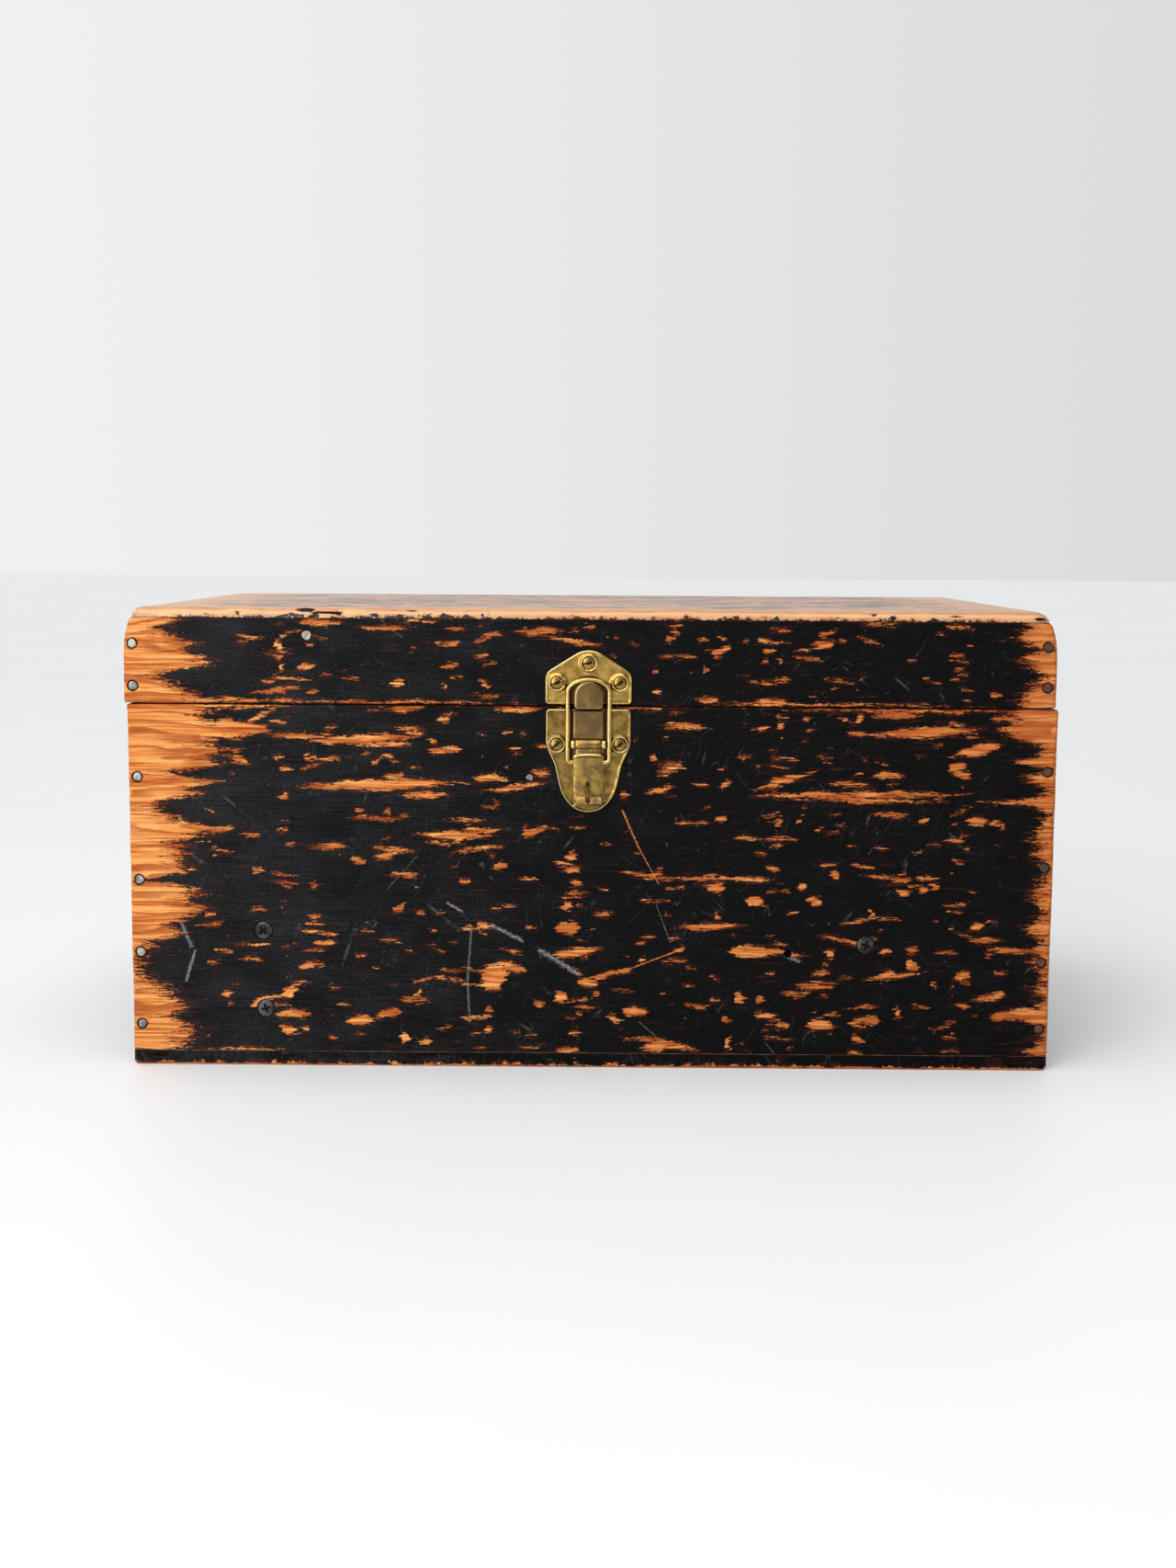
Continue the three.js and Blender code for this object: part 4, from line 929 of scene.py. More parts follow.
def pressed(outline, top, bottom, rings, centre=None):
    """A closed solid over an outline that its centre sees all of; top and bottom give its two heights."""
    centre = outline.mean(axis=0) if centre is None else np.array(centre, float)
    count = len(outline)
    stations = np.concatenate([[0], np.geomspace(0.006, 1, rings)])[:-1]
    layers = [outline + share * (centre - outline) for share in stations]
    flat = np.vstack([*layers, centre[None]])
    edge = edge_distance(flat, outline)
    edge[:count] = 0
    upper = np.column_stack([flat, top(flat[:, 0], flat[:, 1], edge)])
    lower = np.column_stack([flat, bottom(flat[:, 0], flat[:, 1], edge)])
    total = len(flat)
    faces = []
    around = np.arange(count)
    beside = np.roll(around, -1)
    for ring in range(len(layers) - 1):
        a, b = ring * count, (ring + 1) * count
        for side, flip in ((0, False), (total, True)):
            quad = np.stack([a + around, a + beside, b + beside, b + around], axis=-1) + side
            faces += (quad[:, ::-1] if flip else quad).tolist()
    last = (len(layers) - 1) * count
    for i, j in zip(around.tolist(), beside.tolist()):
        faces.append([last + i, last + j, total - 1])
        faces.append([total + last + j, total + last + i, 2 * total - 1])
        faces.append([i, total + i, total + j, j])
    return np.vstack([upper, lower]), faces, np.concatenate([edge, edge])


def lofted_faces(layers, count):
    """Faces of a closed solid made of layers of points: quads between the layers and a cap at each end."""
    around, beside = np.arange(count), np.roll(np.arange(count), -1)
    faces = []
    for layer in range(layers - 1):
        a, b = layer * count, (layer + 1) * count
        faces += np.stack([a + around, a + beside, b + beside, b + around], axis=-1).tolist()
    faces.append(around[::-1].tolist())
    faces.append(((layers - 1) * count + around).tolist())
    return faces


def rolled_edge(edge, low, high, radius):
    """A height that rises from low to high over a rounded rim."""
    share = np.clip(edge / radius, 0, 1)
    return low + (high - low) * np.sqrt(np.clip(1 - (1 - share) ** 2, 0, 1))


# ---------------------------------------------------------------- latch

# In the latch's own frame, as in the CAD part: x to the right, y up from the seam, height out of the front.
PLATE_BACK = 0.12
PLATE_FOOT = 0.35
PLATE_FACE = 1.75
KEEPER_SCREWS = [(0, 23.6), (-17.1, 12.8), (17.1, 12.8)]
BASE_SCREWS = [(-17.2, -20.8), (17.2, -20.8)]
DIMPLE_RIM = 4.5
PIVOT = (-20.5, 5.0)
KNUCKLE = 2.5
BAIL_PIVOT = (-30.3, 4.3)
BAIL_HALF = 11.3
BAIL_WIRE = 1.4
BAIL_ARCH = (8.3, 6.2)
NECK_END = -25.8
LIP = -47.0
TIP = -53.55


def latch_origin():
    return (LATCH_X, FRONT_Y, SEAM_Z)


def latch_piece(name, node, points, faces, material, attributes, sharp=35):
    """Makes one piece of the latch from points in the latch's own frame."""
    placed = onto("front", latch_origin(), points)
    stand_for(make_mesh(name, placed, faces, material, attributes, sharp), node)


def dimples(x, y, places):
    """Height added by the pressed ring around each screw, with a seat inside it."""
    added = np.zeros_like(x)
    for middle in places:
        away = np.hypot(x - middle[0], y - middle[1])
        ring = 0.95 * bell(away - DIMPLE_RIM + 0.3, 0.75)
        seat = -0.55 * smooth(away, 3.7, 3.1)
        added += ring + seat
    return added


def latch_plate(name, node, outline, places, material, centre, extra=None):
    def top(x, y, edge):
        face = rolled_edge(edge, PLATE_FOOT, PLATE_FACE, 0.8) + 0.25 * bell(edge - 1.0, 0.5)
        height = face + dimples(x, y, places) * smooth(edge, 0.6, 1.8)
        return height if extra is None else height + extra(x, y, edge)

    points, faces, edge = pressed(outline, top, lambda x, y, e: np.full_like(x, PLATE_BACK), 78, centre)
    # Rim brightness along the rolled edge and round each screw dimple: polish with a painted highlight.
    rim = 0.9 * bell(edge - 0.55, 0.45)
    for middle in places:
        away = np.hypot(points[:, 0] - middle[0], points[:, 1] - middle[1])
        rim = np.maximum(rim, 0.7 * bell(away - DIMPLE_RIM + 0.3, 0.45))
    # Darkening for the shader: painted shade beside the nose and lever, under the bail's arch, along the
    # plate's outer edge, towards the right side away from the light and round each screw head, with some
    # grime.
    beside_nose = np.exp(-(((np.abs(points[:, 0]) - 9.6) / 1.7) ** 4)) * smooth(points[:, 1], -31, -27)
    under_arch = np.hypot(points[:, 0], np.maximum(points[:, 1] - 6.1, 0))
    beside_nose = np.where(points[:, 1] > 6.1, np.exp(-(((under_arch - 9.4) / 1.5) ** 4)), beside_nose)
    outer = 0.5 * smooth(edge, 0.5, 0.0)
    shaded = 0.35 * smooth(points[:, 0], 8, 24) * smooth(edge, 5, 1)
    grime_and_shade = np.maximum(0.85 * beside_nose, outer) + shaded
    for middle in places:
        away = np.hypot(points[:, 0] - middle[0], points[:, 1] - middle[1])
        grime_and_shade = np.maximum(grime_and_shade, 0.7 * bell(away - 3.4, 0.25))
    latch_piece(name, node, points, faces, material, {"rim": rim, "grime_and_shade": grime_and_shade}, sharp=60)


def keeper_outline():
    half, shoulder, radius = 23.8, 18.4, 14.3
    apex = [(radius * math.sin(a), 16.4 + radius * math.cos(a)) for a in np.linspace(0.57, -0.57, 25)]
    corners = [(half, 1.0), (half, shoulder), *apex, (-half, shoulder), (-half, 1.0)]
    radii = [2.6, 3.6, *[0.3] * len(apex), 3.6, 2.6]
    return resample(rounded_corners(corners, radii), 280)


def base_outline():
    right = [(4.6, -57.8), (8.8, -55.6), (13, -51), (15.4, -46), (17, -39.5), (18.5, -32), (21.2, -26.5),
             (23.4, -21.5), (23.4, -1.2)]
    left = [(-x, y) for x, y in reversed(right)]
    radii = [9.0] * (len(right) - 1) + [2.6, 2.6] + [9.0] * (len(right) - 1)
    return resample(rounded_corners([*right, *left, (0, -58.4)], [*radii, 9.0]), 320)


def add_keeper(brass, dark):
    latch_plate("keeper_plate_pressed", "keeper_plate", keeper_outline(), KEEPER_SCREWS, brass, (0, 15))
    half, low, arch = 7.95, -1.2, 6.1
    angles = np.linspace(0, math.pi, 40)
    corners = [(-half, low), (half, low)]
    outline = np.vstack([rounded_corners([*corners, (half, arch), (-half, arch)], [2.2, 2.2, 0.2, 0.2])[:16],
                         np.column_stack([half * np.cos(angles), arch + half * np.sin(angles)])])

    def top(x, y, edge):
        crowned = rolled_edge(edge, 0, 0.85, 2.2)
        return rolled_edge(edge, 6.05, 6.9, 0.4) + crowned + 0.22 * smooth(edge, 0.5, 7)

    def bottom(x, y, edge):
        """The cap overhangs the bail at its top; below that the nose stands on the plate."""
        under = smooth(edge, 1.35 + 0.4 * smooth(y, 2, 6), 1.2 + 0.4 * smooth(y, 2, 6))
        return np.where(y > 2, 1.4 + 4.6 * under, np.where(y > 1.6, 1.4, 2.45))

    points, faces, edge = pressed(resample(outline, 180), top, bottom, 50, (0, 5.0))
    rim = 0.35 * bell(edge - 0.9, 0.6)
    latch_piece("keeper_nose", "keeper_plate", points, faces, dark, {"rim": rim}, sharp=50)


def add_base_plate(brass, dark):
    latch_plate("latch_base_plate_pressed", "latch_base_plate", base_outline(), BASE_SCREWS, brass, (0, -24))

    def top(x, y, edge):
        return rolled_edge(edge, 1.5, 3.7, 0.4) + rolled_edge(edge, 0, 0.6, 1.3) + 0.1 * smooth(edge, 1, 7)

    outline = rounded_rectangle(8.4, -17.8, -2.0, 1.2)
    points, faces, edge = pressed(outline, top, lambda x, y, e: np.full_like(x, 1.4), 44)
    rim = 0.3 * bell(edge - 0.9, 0.6)
    latch_piece("latch_bridge", "latch_base_plate", points, faces, dark, {"rim": rim}, sharp=50)
    for side, name in ((-1, "left"), (1, "right")):
        add_pivot_ear(f"latch_ear_{name}", side, brass)


def add_pivot_ear(name, side, brass):
    """A rounded ear that stands up from the base plate and holds one end of the pivot pin."""
    y, z = PIVOT
    reach = KNUCKLE
    arch = [(y + reach * math.cos(a), z + reach * math.sin(a)) for a in np.linspace(0, math.pi, 20)]
    outline = np.array([(y - reach, 1.4), (y + reach, 1.4), *arch])
    flat, faces, edge = pressed(
        resample(outline, 80), lambda x, w, e: 9.0 + rolled_edge(e, 0, 0.4, 0.5),
        lambda x, w, e: 7.8 - rolled_edge(e, 0, 0.4, 0.5), 20)
    points = np.column_stack([side * flat[:, 2], flat[:, 0], flat[:, 1]])
    faces = faces if side > 0 else [face[::-1] for face in faces]
    rim = 0.8 * bell(edge, 0.5)
    latch_piece(name, "latch_base_plate", points, faces, brass, {"rim": rim}, sharp=50)


def tube(path, radius, sides=20, squash=(1.0, 1.0)):
    """A closed tube along points, its ends rounded."""
    path = np.asarray(path, float)
    forward = np.gradient(path, axis=0)
    forward /= np.linalg.norm(forward, axis=1)[:, None]
    start = np.array([0, 0, 1.0]) if abs(forward[0][2]) < 0.9 else np.array([1.0, 0, 0])
    normal = np.cross(forward[0], start)
    normal /= np.linalg.norm(normal)
    rings = []
    angles = np.linspace(0, 2 * np.pi, sides, endpoint=False)
    ends = np.minimum(np.arange(len(path)), np.arange(len(path))[::-1])
    for place, ahead, end in zip(path, forward, ends):
        normal = normal - ahead * (normal @ ahead)
        normal /= np.linalg.norm(normal)
        side = np.cross(ahead, normal)
        size = radius * (0.72 if end == 0 else 1.0)
        ring = np.outer(np.cos(angles) * squash[0], normal) + np.outer(np.sin(angles) * squash[1], side)
        rings.append(place + size * ring)
    return np.vstack(rings), lofted_faces(len(path), sides)


def add_bail(brass):
    """The wire loop: bent ends in the lever, two legs and a low arch under the keeper's nose."""
    y0, z = BAIL_PIVOT
    half, bend = BAIL_HALF, 2.0
    arch_y, rise = BAIL_ARCH
    quarter = np.linspace(0, math.pi / 2, 9)
    elbow = [(half - bend + bend * math.sin(a), y0 + bend - bend * math.cos(a)) for a in quarter]
    right = [(6.6, y0), (8.0, y0), *elbow, *[(half, y) for y in np.linspace(y0 + 4, arch_y, 22)[:-1]]]
    arch = [(half * math.cos(a), arch_y + rise * math.sin(a)) for a in np.linspace(0, math.pi, 49)]
    left = [(-x, y) for x, y in reversed(right)]
    path = [(x, y, z) for x, y in [*right, *arch, *left]]
    points, faces = tube(path, BAIL_WIRE, 24)
    # The outward half of the wire is brightened: a painted highlight on its lit side.
    rim = 0.5 * smooth(points[:, 2], z + 0.4, z + 1.1)
    latch_piece("latch_bail_wire", "latch_bail", points, faces, brass, {"rim": rim})


def lever_section(y):
    """Half width, face height and flange foot of the lever at a place along it."""
    body = float(smooth(y, NECK_END + 0.5, NECK_END - 0.6))
    half = 7.3 + 1.0 * body
    knuckle = 0.0
    if y > PIVOT[0] - KNUCKLE:
        knuckle = PIVOT[1] + math.sqrt(max(KNUCKLE**2 - (y - PIVOT[0]) ** 2, 0.0))
    neck = 6.2 - 0.35 * math.sin(math.pi * float(np.clip((PIVOT[0] - y) / 6, 0, 1)))
    face = max(knuckle, neck) * (1 - body) + body * (6.8 - 0.3 * float(smooth(y, NECK_END - 2, NECK_END)))
    lip = float(smooth(y, LIP, TIP - 0.1))
    face = face + 2.9 * lip**1.3
    foot = 2.35 + 1.9 * float(smooth(y, -43, -48)) + 5.6 * lip**1.1 if y < NECK_END else 4.3
    return half, face, min(foot, face - 1.0)


def add_lever(brass):
    """A channel lofted from the knuckle to the flared lip, with the staple's slot cut through."""
    places = np.concatenate([
        np.linspace(-18.1, -27.5, 34), np.linspace(-28, LIP, 44), np.linspace(LIP - 0.3, TIP, 24),
    ])
    corner = np.linspace(0, math.pi / 2, 7)
    rows = []
    for y in places:
        half, face, foot = lever_section(y)
        if y > PIVOT[0] + 1.2:
            foot = max(foot, PIVOT[1])
        radius = min(1.1, face - foot - 0.05)
        up = [(half, w) for w in np.linspace(foot, face - radius, 6)]
        bend = [(half - radius + radius * math.cos(a), face - radius + radius * math.sin(a))
                for a in corner]
        across = [(x, face + 0.28 * (1 - (x / half) ** 2)) for x in np.linspace(half - radius, 0, 12)[1:]]
        side = [*up, *bend, *across]
        rows.append([(x, y, w) for x, w in side] + [(-x, y, w) for x, w in side[-2::-1]])
    rows = np.array(rows)
    count = rows.shape[1]
    index = np.arange(rows.shape[0] * count).reshape(rows.shape[0], count)
    quads = np.stack([index[:-1, :-1], index[:-1, 1:], index[1:, 1:], index[1:, :-1]], axis=-1).reshape(-1, 4)
    points = rows.reshape(-1, 3)
    # Rim brightness along the top corners, the lip's end and the step: polish with a painted highlight.
    edge = 0.75 * bell(8.3 - np.abs(points[:, 0]), 0.6) * smooth(points[:, 2], 5.0, 6.4)
    lip = 0.4 * smooth(points[:, 1], TIP + 1.0, TIP)
    arched = points[:, 1] - NECK_END + 0.9 * (points[:, 0] / 7) ** 2
    step = 0.8 * bell(arched, 0.4)
    rim = np.maximum(np.maximum(edge, lip), step)
    # Darkening for the shader: painted shade in the crease under the step and low on the sides near the
    # plate; the lip is darkened too.
    crease = bell(arched + 1.1, 0.5) + 0.9 * smooth(points[:, 1], LIP - 1.5, LIP - 4)
    grime_and_shade = 0.5 * crease + 0.6 * smooth(points[:, 2], 4.6, 3.0)
    piece = make_mesh("latch_lever_channel", onto("front", latch_origin(), points), quads.tolist(), brass,
                      {"rim": rim, "grime_and_shade": grime_and_shade}, sharp=50)
    sheet = piece.modifiers.new("sheet", "SOLIDIFY")
    sheet.thickness = 1.0 * MM
    sheet.offset = -1
    sheet.use_even_offset = True
    cut_with(piece, slot_cutter())
    stand_for(piece, "latch_lever")


def slot_cutter():
    """A tall stadium-shaped block where the staple passes through the lever."""
    half, low, high = 1.6, -52.4, -40.3
    outline = rounded_rectangle(half, low, high, 1.6, 60)
    count = len(outline)
    points = np.vstack([np.column_stack([outline, np.full(count, w)]) for w in (2.0, 14.0)])
    faces = lofted_faces(2, count)
    # Its faces become the walls of the slot, darkened all over: painted shade inside the slot.
    attributes = {"grime_and_shade": np.ones(len(points)), "rim": np.zeros(len(points))}
    placed = onto("front", latch_origin(), points)
    return make_mesh("slot_cutter", placed, faces, bpy.data.materials[0], attributes)


def cut_with(piece, cutter):
    """Applies the piece's modifiers and the cut, then removes the cutter."""
    cut = piece.modifiers.new("cut", "BOOLEAN")
    cut.operation = "DIFFERENCE"
    cut.solver = "EXACT"
    cut.object = cutter
    bpy.context.view_layer.update()
    made = bpy.data.meshes.new_from_object(piece.evaluated_get(bpy.context.evaluated_depsgraph_get()))
    piece.modifiers.clear()
    material = piece.data.materials[0]
    piece.data = made
    made.materials.clear()
    made.materials.append(material)
    made.set_sharp_from_angle(angle=math.radians(50))
    bpy.data.objects.remove(cutter, do_unlink=True)


def add_staple(brass):
    """The padlock eye: a flat bar bent into an arch that stands out through the slot."""
    middle, reach, straight = -46.9, 4.2, 10.05
    legs = np.linspace(0.6, straight, 12)
    upper = [(0, middle + reach, w) for w in legs]
    turn = np.linspace(0, math.pi, 24)
    arch = [(0, middle + reach * math.cos(a), straight + reach * math.sin(a)) for a in turn]
    lower = [(0, middle - reach, w) for w in legs[::-1]]
    points, faces = tube([*upper, *arch[1:-1], *lower], 0.9, 20, (0.85, 0.6))
    # The outermost bend of the bar is brightened: a painted highlight.
    rim = 0.3 * smooth(points[:, 2], 13.2, 15)
    latch_piece("padlock_staple_bar", "padlock_staple", points, faces, brass, {"rim": rim})


def add_pivot_pin(brass):
    y, z = PIVOT
    path = [(x, y, z) for x in (-9.35, -9.2, -8.9, -5, 0, 5, 8.9, 9.2, 9.35)]
    points, faces = tube(path, 1.15, 20)
    # No rim brightening: neither polish nor painted highlight.
    no_rim_shine = {"rim": np.zeros(len(points))}
    latch_piece("latch_pivot_rod", "latch_pivot_pin", points, faces, brass, no_rim_shine)


# ---------------------------------------------------------------- screws and nails


def screw_head(radius, length, shank, drive, turn, crown=0.35, rim_bright=0.4):
    """A countersunk screw: a crowned head with a slot or a cross in it, over a cone and a shank."""
    cosine, sine = math.cos(turn), math.sin(turn)

    def top(x, y, edge):
        away = np.hypot(x, y)
        across, along = x * cosine + y * sine, -x * sine + y * cosine
        face = crown * (1 - (away / radius) ** 2) - 0.12 * bell(edge, 0.25)
        if drive == "slot":
            recess = smooth(np.abs(across), 0.62, 0.42) * smooth(edge, -0.1, 0.2)
            return face - 0.95 * recess
        arm = radius * 0.56
        one = smooth(np.abs(across), radius * 0.15, radius * 0.09) * smooth(np.abs(along), arm, arm * 0.8)
        other = smooth(np.abs(along), radius * 0.15, radius * 0.09) * smooth(np.abs(across), arm, arm * 0.8)
        return face - (0.4 + 0.3 * radius) * np.maximum(one, other)

    def bottom(x, y, edge):
        away = np.hypot(x, y)
        cone = -0.35 - (radius - away) * 0.8
        return np.where(away < shank, -length + 2.5 * away / shank, cone)

    points, faces, edge = pressed(circle(radius, 64), top, bottom, 34)
    across = np.abs(points[:, 0] * cosine + points[:, 1] * sine)
    # The slot is darkened as painted shade in its recess; the head's edge gets a brightness ring of polish
    # and painted highlight.
    grime_and_shade = smooth(across, 0.62, 0.42) if drive == "slot" else 0 * across
    return points, faces, {"rim": rim_bright * bell(edge - 0.25, 0.25), "grime_and_shade": grime_and_shade}


def place_screw(node, facing, material, radius, length, shank, drive, turn, proud):
    """Puts a detailed screw where its CAD node's head is."""
    middle = node_middle(node)
    axes = [np.array(axis, float) for axis in FACINGS[facing]]
    surface = span(node, FACINGS[facing][2])[1]
    origin = middle - axes[2] * (middle @ axes[2]) + axes[2] * (surface + proud)
    points, faces, attributes = screw_head(radius, length, shank, drive, turn)
    piece = make_mesh(node + "_turned", onto(facing, origin, points), faces, material, attributes, sharp=40)
    stand_for(piece, node)


def nail_head(seed, radius=NAIL_RADIUS, length=20.0):
    """A hammered nail head, slightly crowned and dented, on its shank."""
    def top(x, y, edge):
        dents = fractal(np.column_stack([x / 1.6, y / 1.6, np.full_like(x, seed * 3.1)]), seed)
        return rolled_edge(edge, -0.5, 0.0, 0.5) + 0.1 * (1 - (np.hypot(x, y) / radius) ** 2) - 0.35 * dents

    def bottom(x, y, edge):
        away = np.hypot(x, y)
        return np.where(away < 1.25, -length + 3 * away / 1.25, -1.3)

    wobble = 1 + 0.04 * np.sin(np.linspace(0, 2 * np.pi, 40, endpoint=False) * 3 + seed)
    outline = circle(radius, 40) * wobble[:, None] * 0.96
    points, faces, edge = pressed(outline, top, bottom, 22)
    return points, faces


def add_nail(name, seed, place, steel, radius=NAIL_RADIUS, sunk=0.2):
    points, faces = nail_head(seed, radius)
    placed = onto("front", (place[0], FRONT_Y + sunk, place[1]), points)
    return make_mesh(name, placed, faces, steel, sharp=50)


def add_front_fasteners():
    grey = worn_steel("nail_steel", rgb(158, 154, 148), rgb(92, 86, 82), 0.42)
    rusty = worn_steel("rusty_nail_steel", rgb(92, 78, 72), rgb(44, 34, 32), 0.55, 0.6)
    black = worn_steel("black_screw_steel", rgb(84, 82, 84), rgb(40, 40, 42), 0.42, 0.2)
    filler = worn_steel("nail_filler", rgb(196, 194, 182), rgb(140, 138, 128), 0.6, 0.05)
    nails = sorted(node for node in SLOT_OF if "_nail_" in node)
    for seed, node in enumerate(nails):
        middle = node_middle(node)
        steel = rusty if "right" in node else grey
        piece = add_nail(node + "_hammered", seed, (middle[0], middle[2]), steel)
        stand_for(piece, node)
    for (place, radius, _), steel, name, body in zip(
            SPARE_NAILS, (filler, grey), ("spare_lid_nail", "spare_base_nail"), ("lid", "base")):
        piece = add_nail(name, 31, place, steel, radius, 0.1)
        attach(piece, body)
    for turn, node in enumerate(("cleat_screw_left_lower", "cleat_screw_left_upper", "cleat_screw_right")):
        place_screw(node, "front", black, SCREW_RADIUS, 26, 2.1, "cross", 0.3 + 0.5 * turn, -0.5)


def add_latch_screws(brass):
    turns = {"keeper_screw_top": 0.2, "keeper_screw_left": 0.4, "keeper_screw_right": 0.6,
             "base_plate_screw_left": 0.7, "base_plate_screw_right": 0.65}
    for node, turn in turns.items():
        place_screw(node, "front", brass, 3.2, 12, 1.5, "slot", math.pi / 2 + turn, -0.75)


# ---------------------------------------------------------------- rear hinges


# In a hinge's own frame: x along the pin, y away from it over a leaf, height out of the back.
HINGE_SCREWS = [(x, 17.0) for x in (-27, 0, 27)]
LEAF_START = 4.5
LEAF_CORNER = 2.5
LEAF_BACK = 0.3
PIN_RADIUS = 1.5
KNUCKLES = 5


def add_hinge_leaves(side, steel):
    """Two pressed leaves with rolled knuckles; the base's leaf hangs down and the lid's stands up."""
    middle = node_middle(f"{side}_hinge_pin")
    for part, sign in (("base", -1), ("lid", 1)):
        node = f"{side}_hinge_{part}_leaf"
        low, high = node_box(node)
        outer = high[2] - middle[2] if sign > 0 else middle[2] - low[2]
        half = (high[0] - low[0]) / 2
        outline = rounded_rectangle(half, LEAF_START, outer, LEAF_CORNER, 200)
        points, faces, _ = pressed(outline, leaf_top, lambda x, y, e: np.full_like(x, LEAF_BACK), 60)
        points[:, 1] *= sign
        faces = faces if sign > 0 else [face[::-1] for face in faces]
        knuckles = range(1 if sign > 0 else 0, KNUCKLES, 2)
        pieces = [(points, faces)]
        for index in knuckles:
            pieces.append(rolled_knuckle(index, half, sign))
        points, faces = merged(pieces)
        origin = (middle[0], BACK_Y, middle[2])
        piece = make_mesh(node + "_pressed", onto("back", origin, points), faces, steel, sharp=40)
        stand_for(piece, node)


def add_hinge_pin(side, steel):
    middle = node_middle(f"{side}_hinge_pin")
    pin_low, pin_high = node_box(f"{side}_hinge_pin")
    pin_half = (pin_high[0] - pin_low[0]) / 2
    ends = [pin_half, pin_half - 0.3, pin_half - 0.8]
    path = [(x, 0, HINGE_Y - BACK_Y) for x in [-e for e in ends] + list(np.linspace(-30, 30, 7)) + ends[::-1]]
    points, faces = tube(path, PIN_RADIUS, 20)
    origin = (middle[0], BACK_Y, middle[2])
    piece = make_mesh(f"{side}_hinge_pin_rod", onto("back", origin, points), faces, steel)
    stand_for(piece, f"{side}_hinge_pin")


def leaf_top(x, y, edge):
    """Height of a hinge leaf's outer face, with a seat sunk under each screw."""
    sink = sum(0.9 * smooth(np.hypot(x - a, y - b), 3.9, 2.6) for a, b in HINGE_SCREWS)
    return rolled_edge(edge, 0.5, 1.95, 0.7) - sink


def merged(pieces):
    points, faces, offset = [], [], 0
    for some_points, some_faces in pieces:
        points.append(some_points)
        faces += [[index + offset for index in face] for face in some_faces]
        offset += len(some_points)
    return np.vstack(points), faces


def rolled_knuckle(index, half, sign):
    """One knuckle: sheet that comes up from the leaf and rolls around the pin."""
    length = 2 * half / KNUCKLES
    x0 = -half + index * length + 0.25
    x1 = x0 + length - 0.5
    radius, bore = 3.4, 1.75
    pin = HINGE_Y - BACK_Y
    turn = np.linspace(0, 1.72 * math.pi, 40)
    outer = [(radius * math.sin(a), pin - radius * math.cos(a)) for a in turn]
    inner = [(bore * math.sin(a), pin - bore * math.cos(a)) for a in turn[::-1]]
    loop = [(-y * sign, z) for y, z in [(-5.2, 0.35), *outer, *inner, (-5.2, 1.9)]]
    bevel = 0.2
    layers = (x0, x0 + bevel, x1 - bevel, x1)
    points = [(x, y, z) for x in layers for y, z in loop]
    faces = lofted_faces(len(layers), len(loop))
    if sign < 0:
        faces = [face[::-1] for face in faces]
    return np.array(points, float), faces


def add_rear_hardware():
    steel = worn_steel("hinge_steel", rgb(158, 150, 140), rgb(116, 108, 100), 0.4, 0.3)
    for side in ("left", "right"):
        add_hinge_leaves(side, steel)
        add_hinge_pin(side, steel)
    screws = sorted(node for node in SLOT_OF if "_hinge_" in node and "_screw_" in node)
    for index, node in enumerate(screws):
        place_screw(node, "back", steel, 3.1, 11, 1.5, "cross", 0.4 * index, -0.9)


def add_cleats():
    """The two battens inside the front, as bare fir with softened edges."""
    bare = painted_plywood("bare_cleat_fir", wear_shift=9.0)
    for index, node in enumerate(("left_cleat", "right_cleat")):
        rims = (0.8, 0.8, 0.8, 0.8)
        plywood(node, "back", bare, plain_wear(60 + index), (3, 2), rims, 1, panel=6 + index, chip=0.3)


# ---------------------------------------------------------------- stage


def add_floor():
    s = Shader("pale_floor")
    place = s.node("ShaderNodeTexCoord", {}, "Object")
    cloud = s.noise(s.vector("MULTIPLY", place, (3, 3, 3)), detail=3)
    colour = s.mix(cloud, rgb(232, 233, 235), rgb(238, 239, 240))
    material = s.finish(Base_Color=colour, Roughness=0.45, Specular_IOR_Level=0.15)
    half = 16000.0
    points = [(-half, -half, -0.2), (half, -half, -0.2), (half, half, -0.2), (-half, half, -0.2)]
    floor = make_mesh("floor", points, [[0, 1, 2, 3]], material)


def add_light(name, place, target, size, power, colour=(1, 1, 1)):
    lamp = bpy.data.lights.new(name, "AREA")
    lamp.shape = "RECTANGLE"
    lamp.size, lamp.size_y = size
    lamp.energy = power
    lamp.color = colour
    holder = bpy.data.objects.new(name, lamp)
    bpy.context.scene.collection.objects.link(holder)
    holder.location = place
    direction = np.array(target) - np.array(place)
    holder.rotation_euler = look_along(direction)


def look_along(direction):
    """Rotation that points a lamp or camera along a direction, upright."""
    x, y, z = direction / np.linalg.norm(direction)
    return (math.acos(-z), 0.0, math.atan2(-x, y))


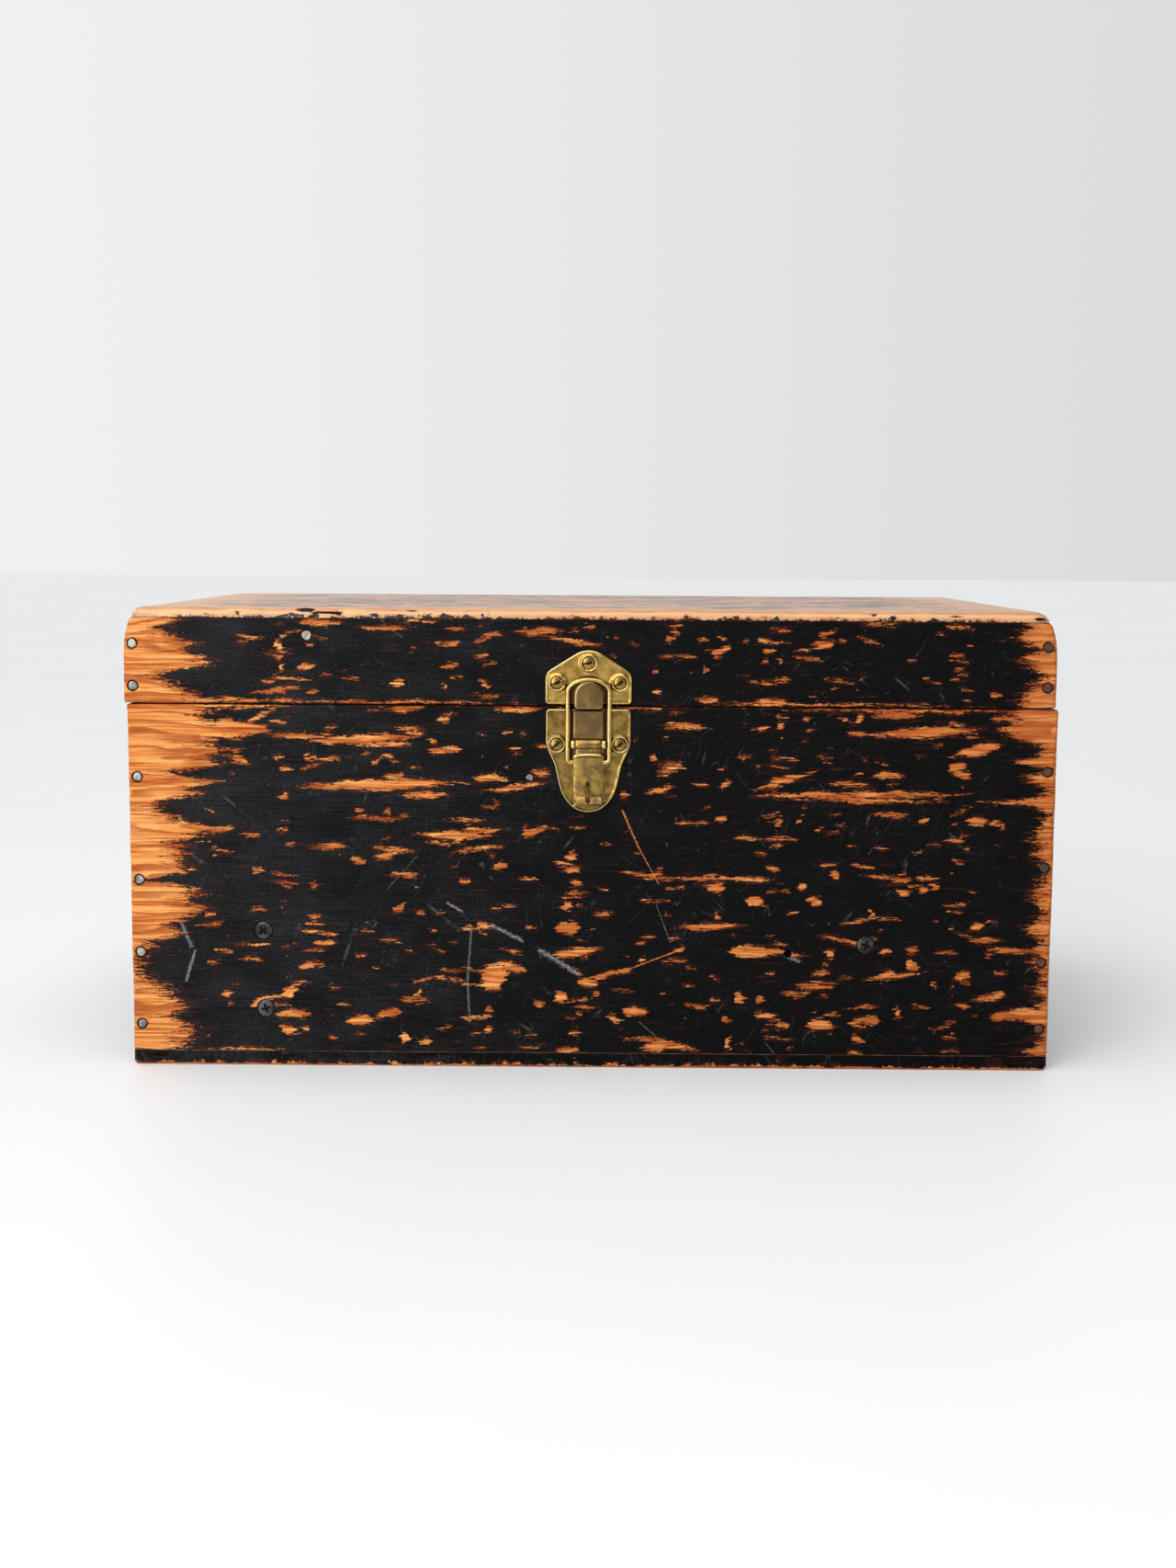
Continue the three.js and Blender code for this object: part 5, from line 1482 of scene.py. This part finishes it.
def add_world():
    """An even pale studio: bright behind the box, dimmer towards the right front."""
    world = bpy.data.worlds.new("studio")
    bpy.context.scene.world = world
    world.use_nodes = True
    tree = world.node_tree
    split = tree.nodes.new("ShaderNodeSeparateXYZ")
    tree.links.new(tree.nodes.new("ShaderNodeTexCoord").outputs["Generated"], split.inputs[0])

    def ramp(axis, low, high, to_low, to_high):
        made = tree.nodes.new("ShaderNodeMapRange")
        made.interpolation_type = "SMOOTHSTEP"
        tree.links.new(split.outputs[axis], made.inputs[0])
        for index, value in enumerate((low, high, to_low, to_high), start=1):
            made.inputs[index].default_value = value
        return made.outputs[0]

    behind = ramp(1, -0.35, 0.35, 0.0, 1.0)
    sideways = ramp(0, -0.8, 0.5, 0.55, 0.3)
    blend = tree.nodes.new("ShaderNodeMix")
    tree.links.new(behind, blend.inputs[0])
    tree.links.new(sideways, blend.inputs[2])
    tree.links.new(ramp(0, -0.35, 0.35, 1.06, 0.86), blend.inputs[3])
    dimmed = tree.nodes.new("ShaderNodeMath")
    dimmed.operation = "MULTIPLY"
    tree.links.new(blend.outputs[0], dimmed.inputs[0])
    tree.links.new(ramp(2, 0.42, 0.7, 1.0, 0.3), dimmed.inputs[1])
    tree.links.new(dimmed.outputs[0], tree.nodes["Background"].inputs["Strength"])
    tree.nodes["Background"].inputs["Color"].default_value = rgb(233, 235, 236)


def add_studio():
    add_world()
    add_light("window_left", (-0.98, -1.85, 0.75), (-0.05, 0, 0.14), (1.0, 1.5), 23, (1.0, 0.985, 0.965))
    add_light("fill_right", (1.9, -1.6, 1.2), (0, 0, 0.12), (1.2, 1.2), 2, (0.97, 0.98, 1.0))
    sky = bpy.data.lights.new("overhead", "SUN")
    sky.energy = 2.3
    sky.angle = math.radians(70)
    holder = bpy.data.objects.new("overhead", sky)
    bpy.context.scene.collection.objects.link(holder)
    holder.rotation_euler = (math.radians(16), math.radians(-8), 0)
    bpy.context.scene.view_settings.view_transform = "Standard"


CAMERA_LENS = 45.5
CAMERA_HEIGHT = 0.289
CAMERA_DISTANCE = 1.0762
CAMERA_TURN = {"pitch": 6.90, "roll": 0.36, "yaw": 0.32}


def add_camera():
    """A standing photographer's view, a little above the lid and square to the front."""
    camera = bpy.data.cameras.new("camera")
    camera.sensor_width = 36.0
    camera.lens = CAMERA_LENS
    camera.clip_end = 100
    holder = bpy.data.objects.new("camera", camera)
    bpy.context.scene.collection.objects.link(holder)
    holder.location = (0.004, FRONT_Y * MM - CAMERA_DISTANCE, CAMERA_HEIGHT)
    pitch, roll, yaw = (math.radians(degrees) for degrees in CAMERA_TURN.values())
    turn = look_along(np.array([-math.sin(yaw), math.cos(yaw), -math.tan(pitch)]))
    aimed = Euler(turn).to_matrix() @ Matrix.Rotation(roll, 3, "Z")
    holder.rotation_euler = aimed.to_euler()
    bpy.context.scene.camera = holder


# ---------------------------------------------------------------- the object

add_camera()
add_studio()
add_floor()
add_carcass()
add_cleats()
add_front_fasteners()
# The keeper and bail copy is painted lighter for how their domed faces catch the light; the base plate and
# nose copies are darker.
polished_and_lit_brass = aged_brass("aged_brass", 0.15, rgb(132, 106, 64), 1.16)
tarnished = aged_brass("tarnished_brass", 0.5, rgb(104, 80, 40), 0.93)
rubbed = aged_brass("rubbed_brown_brass", 0.75, rgb(108, 86, 58), 0.86)
lever_brass = aged_brass("lever_brass", 0.5, rgb(116, 94, 66))
add_keeper(polished_and_lit_brass, rubbed)
add_base_plate(tarnished, rubbed)
add_lever(lever_brass)
add_bail(polished_and_lit_brass)
add_staple(aged_brass("staple_brass", 1.0, rgb(84, 62, 40)))
add_pivot_pin(rubbed)
add_latch_screws(aged_brass("screw_brass", 0.45, rgb(120, 104, 76)))
add_rear_hardware()
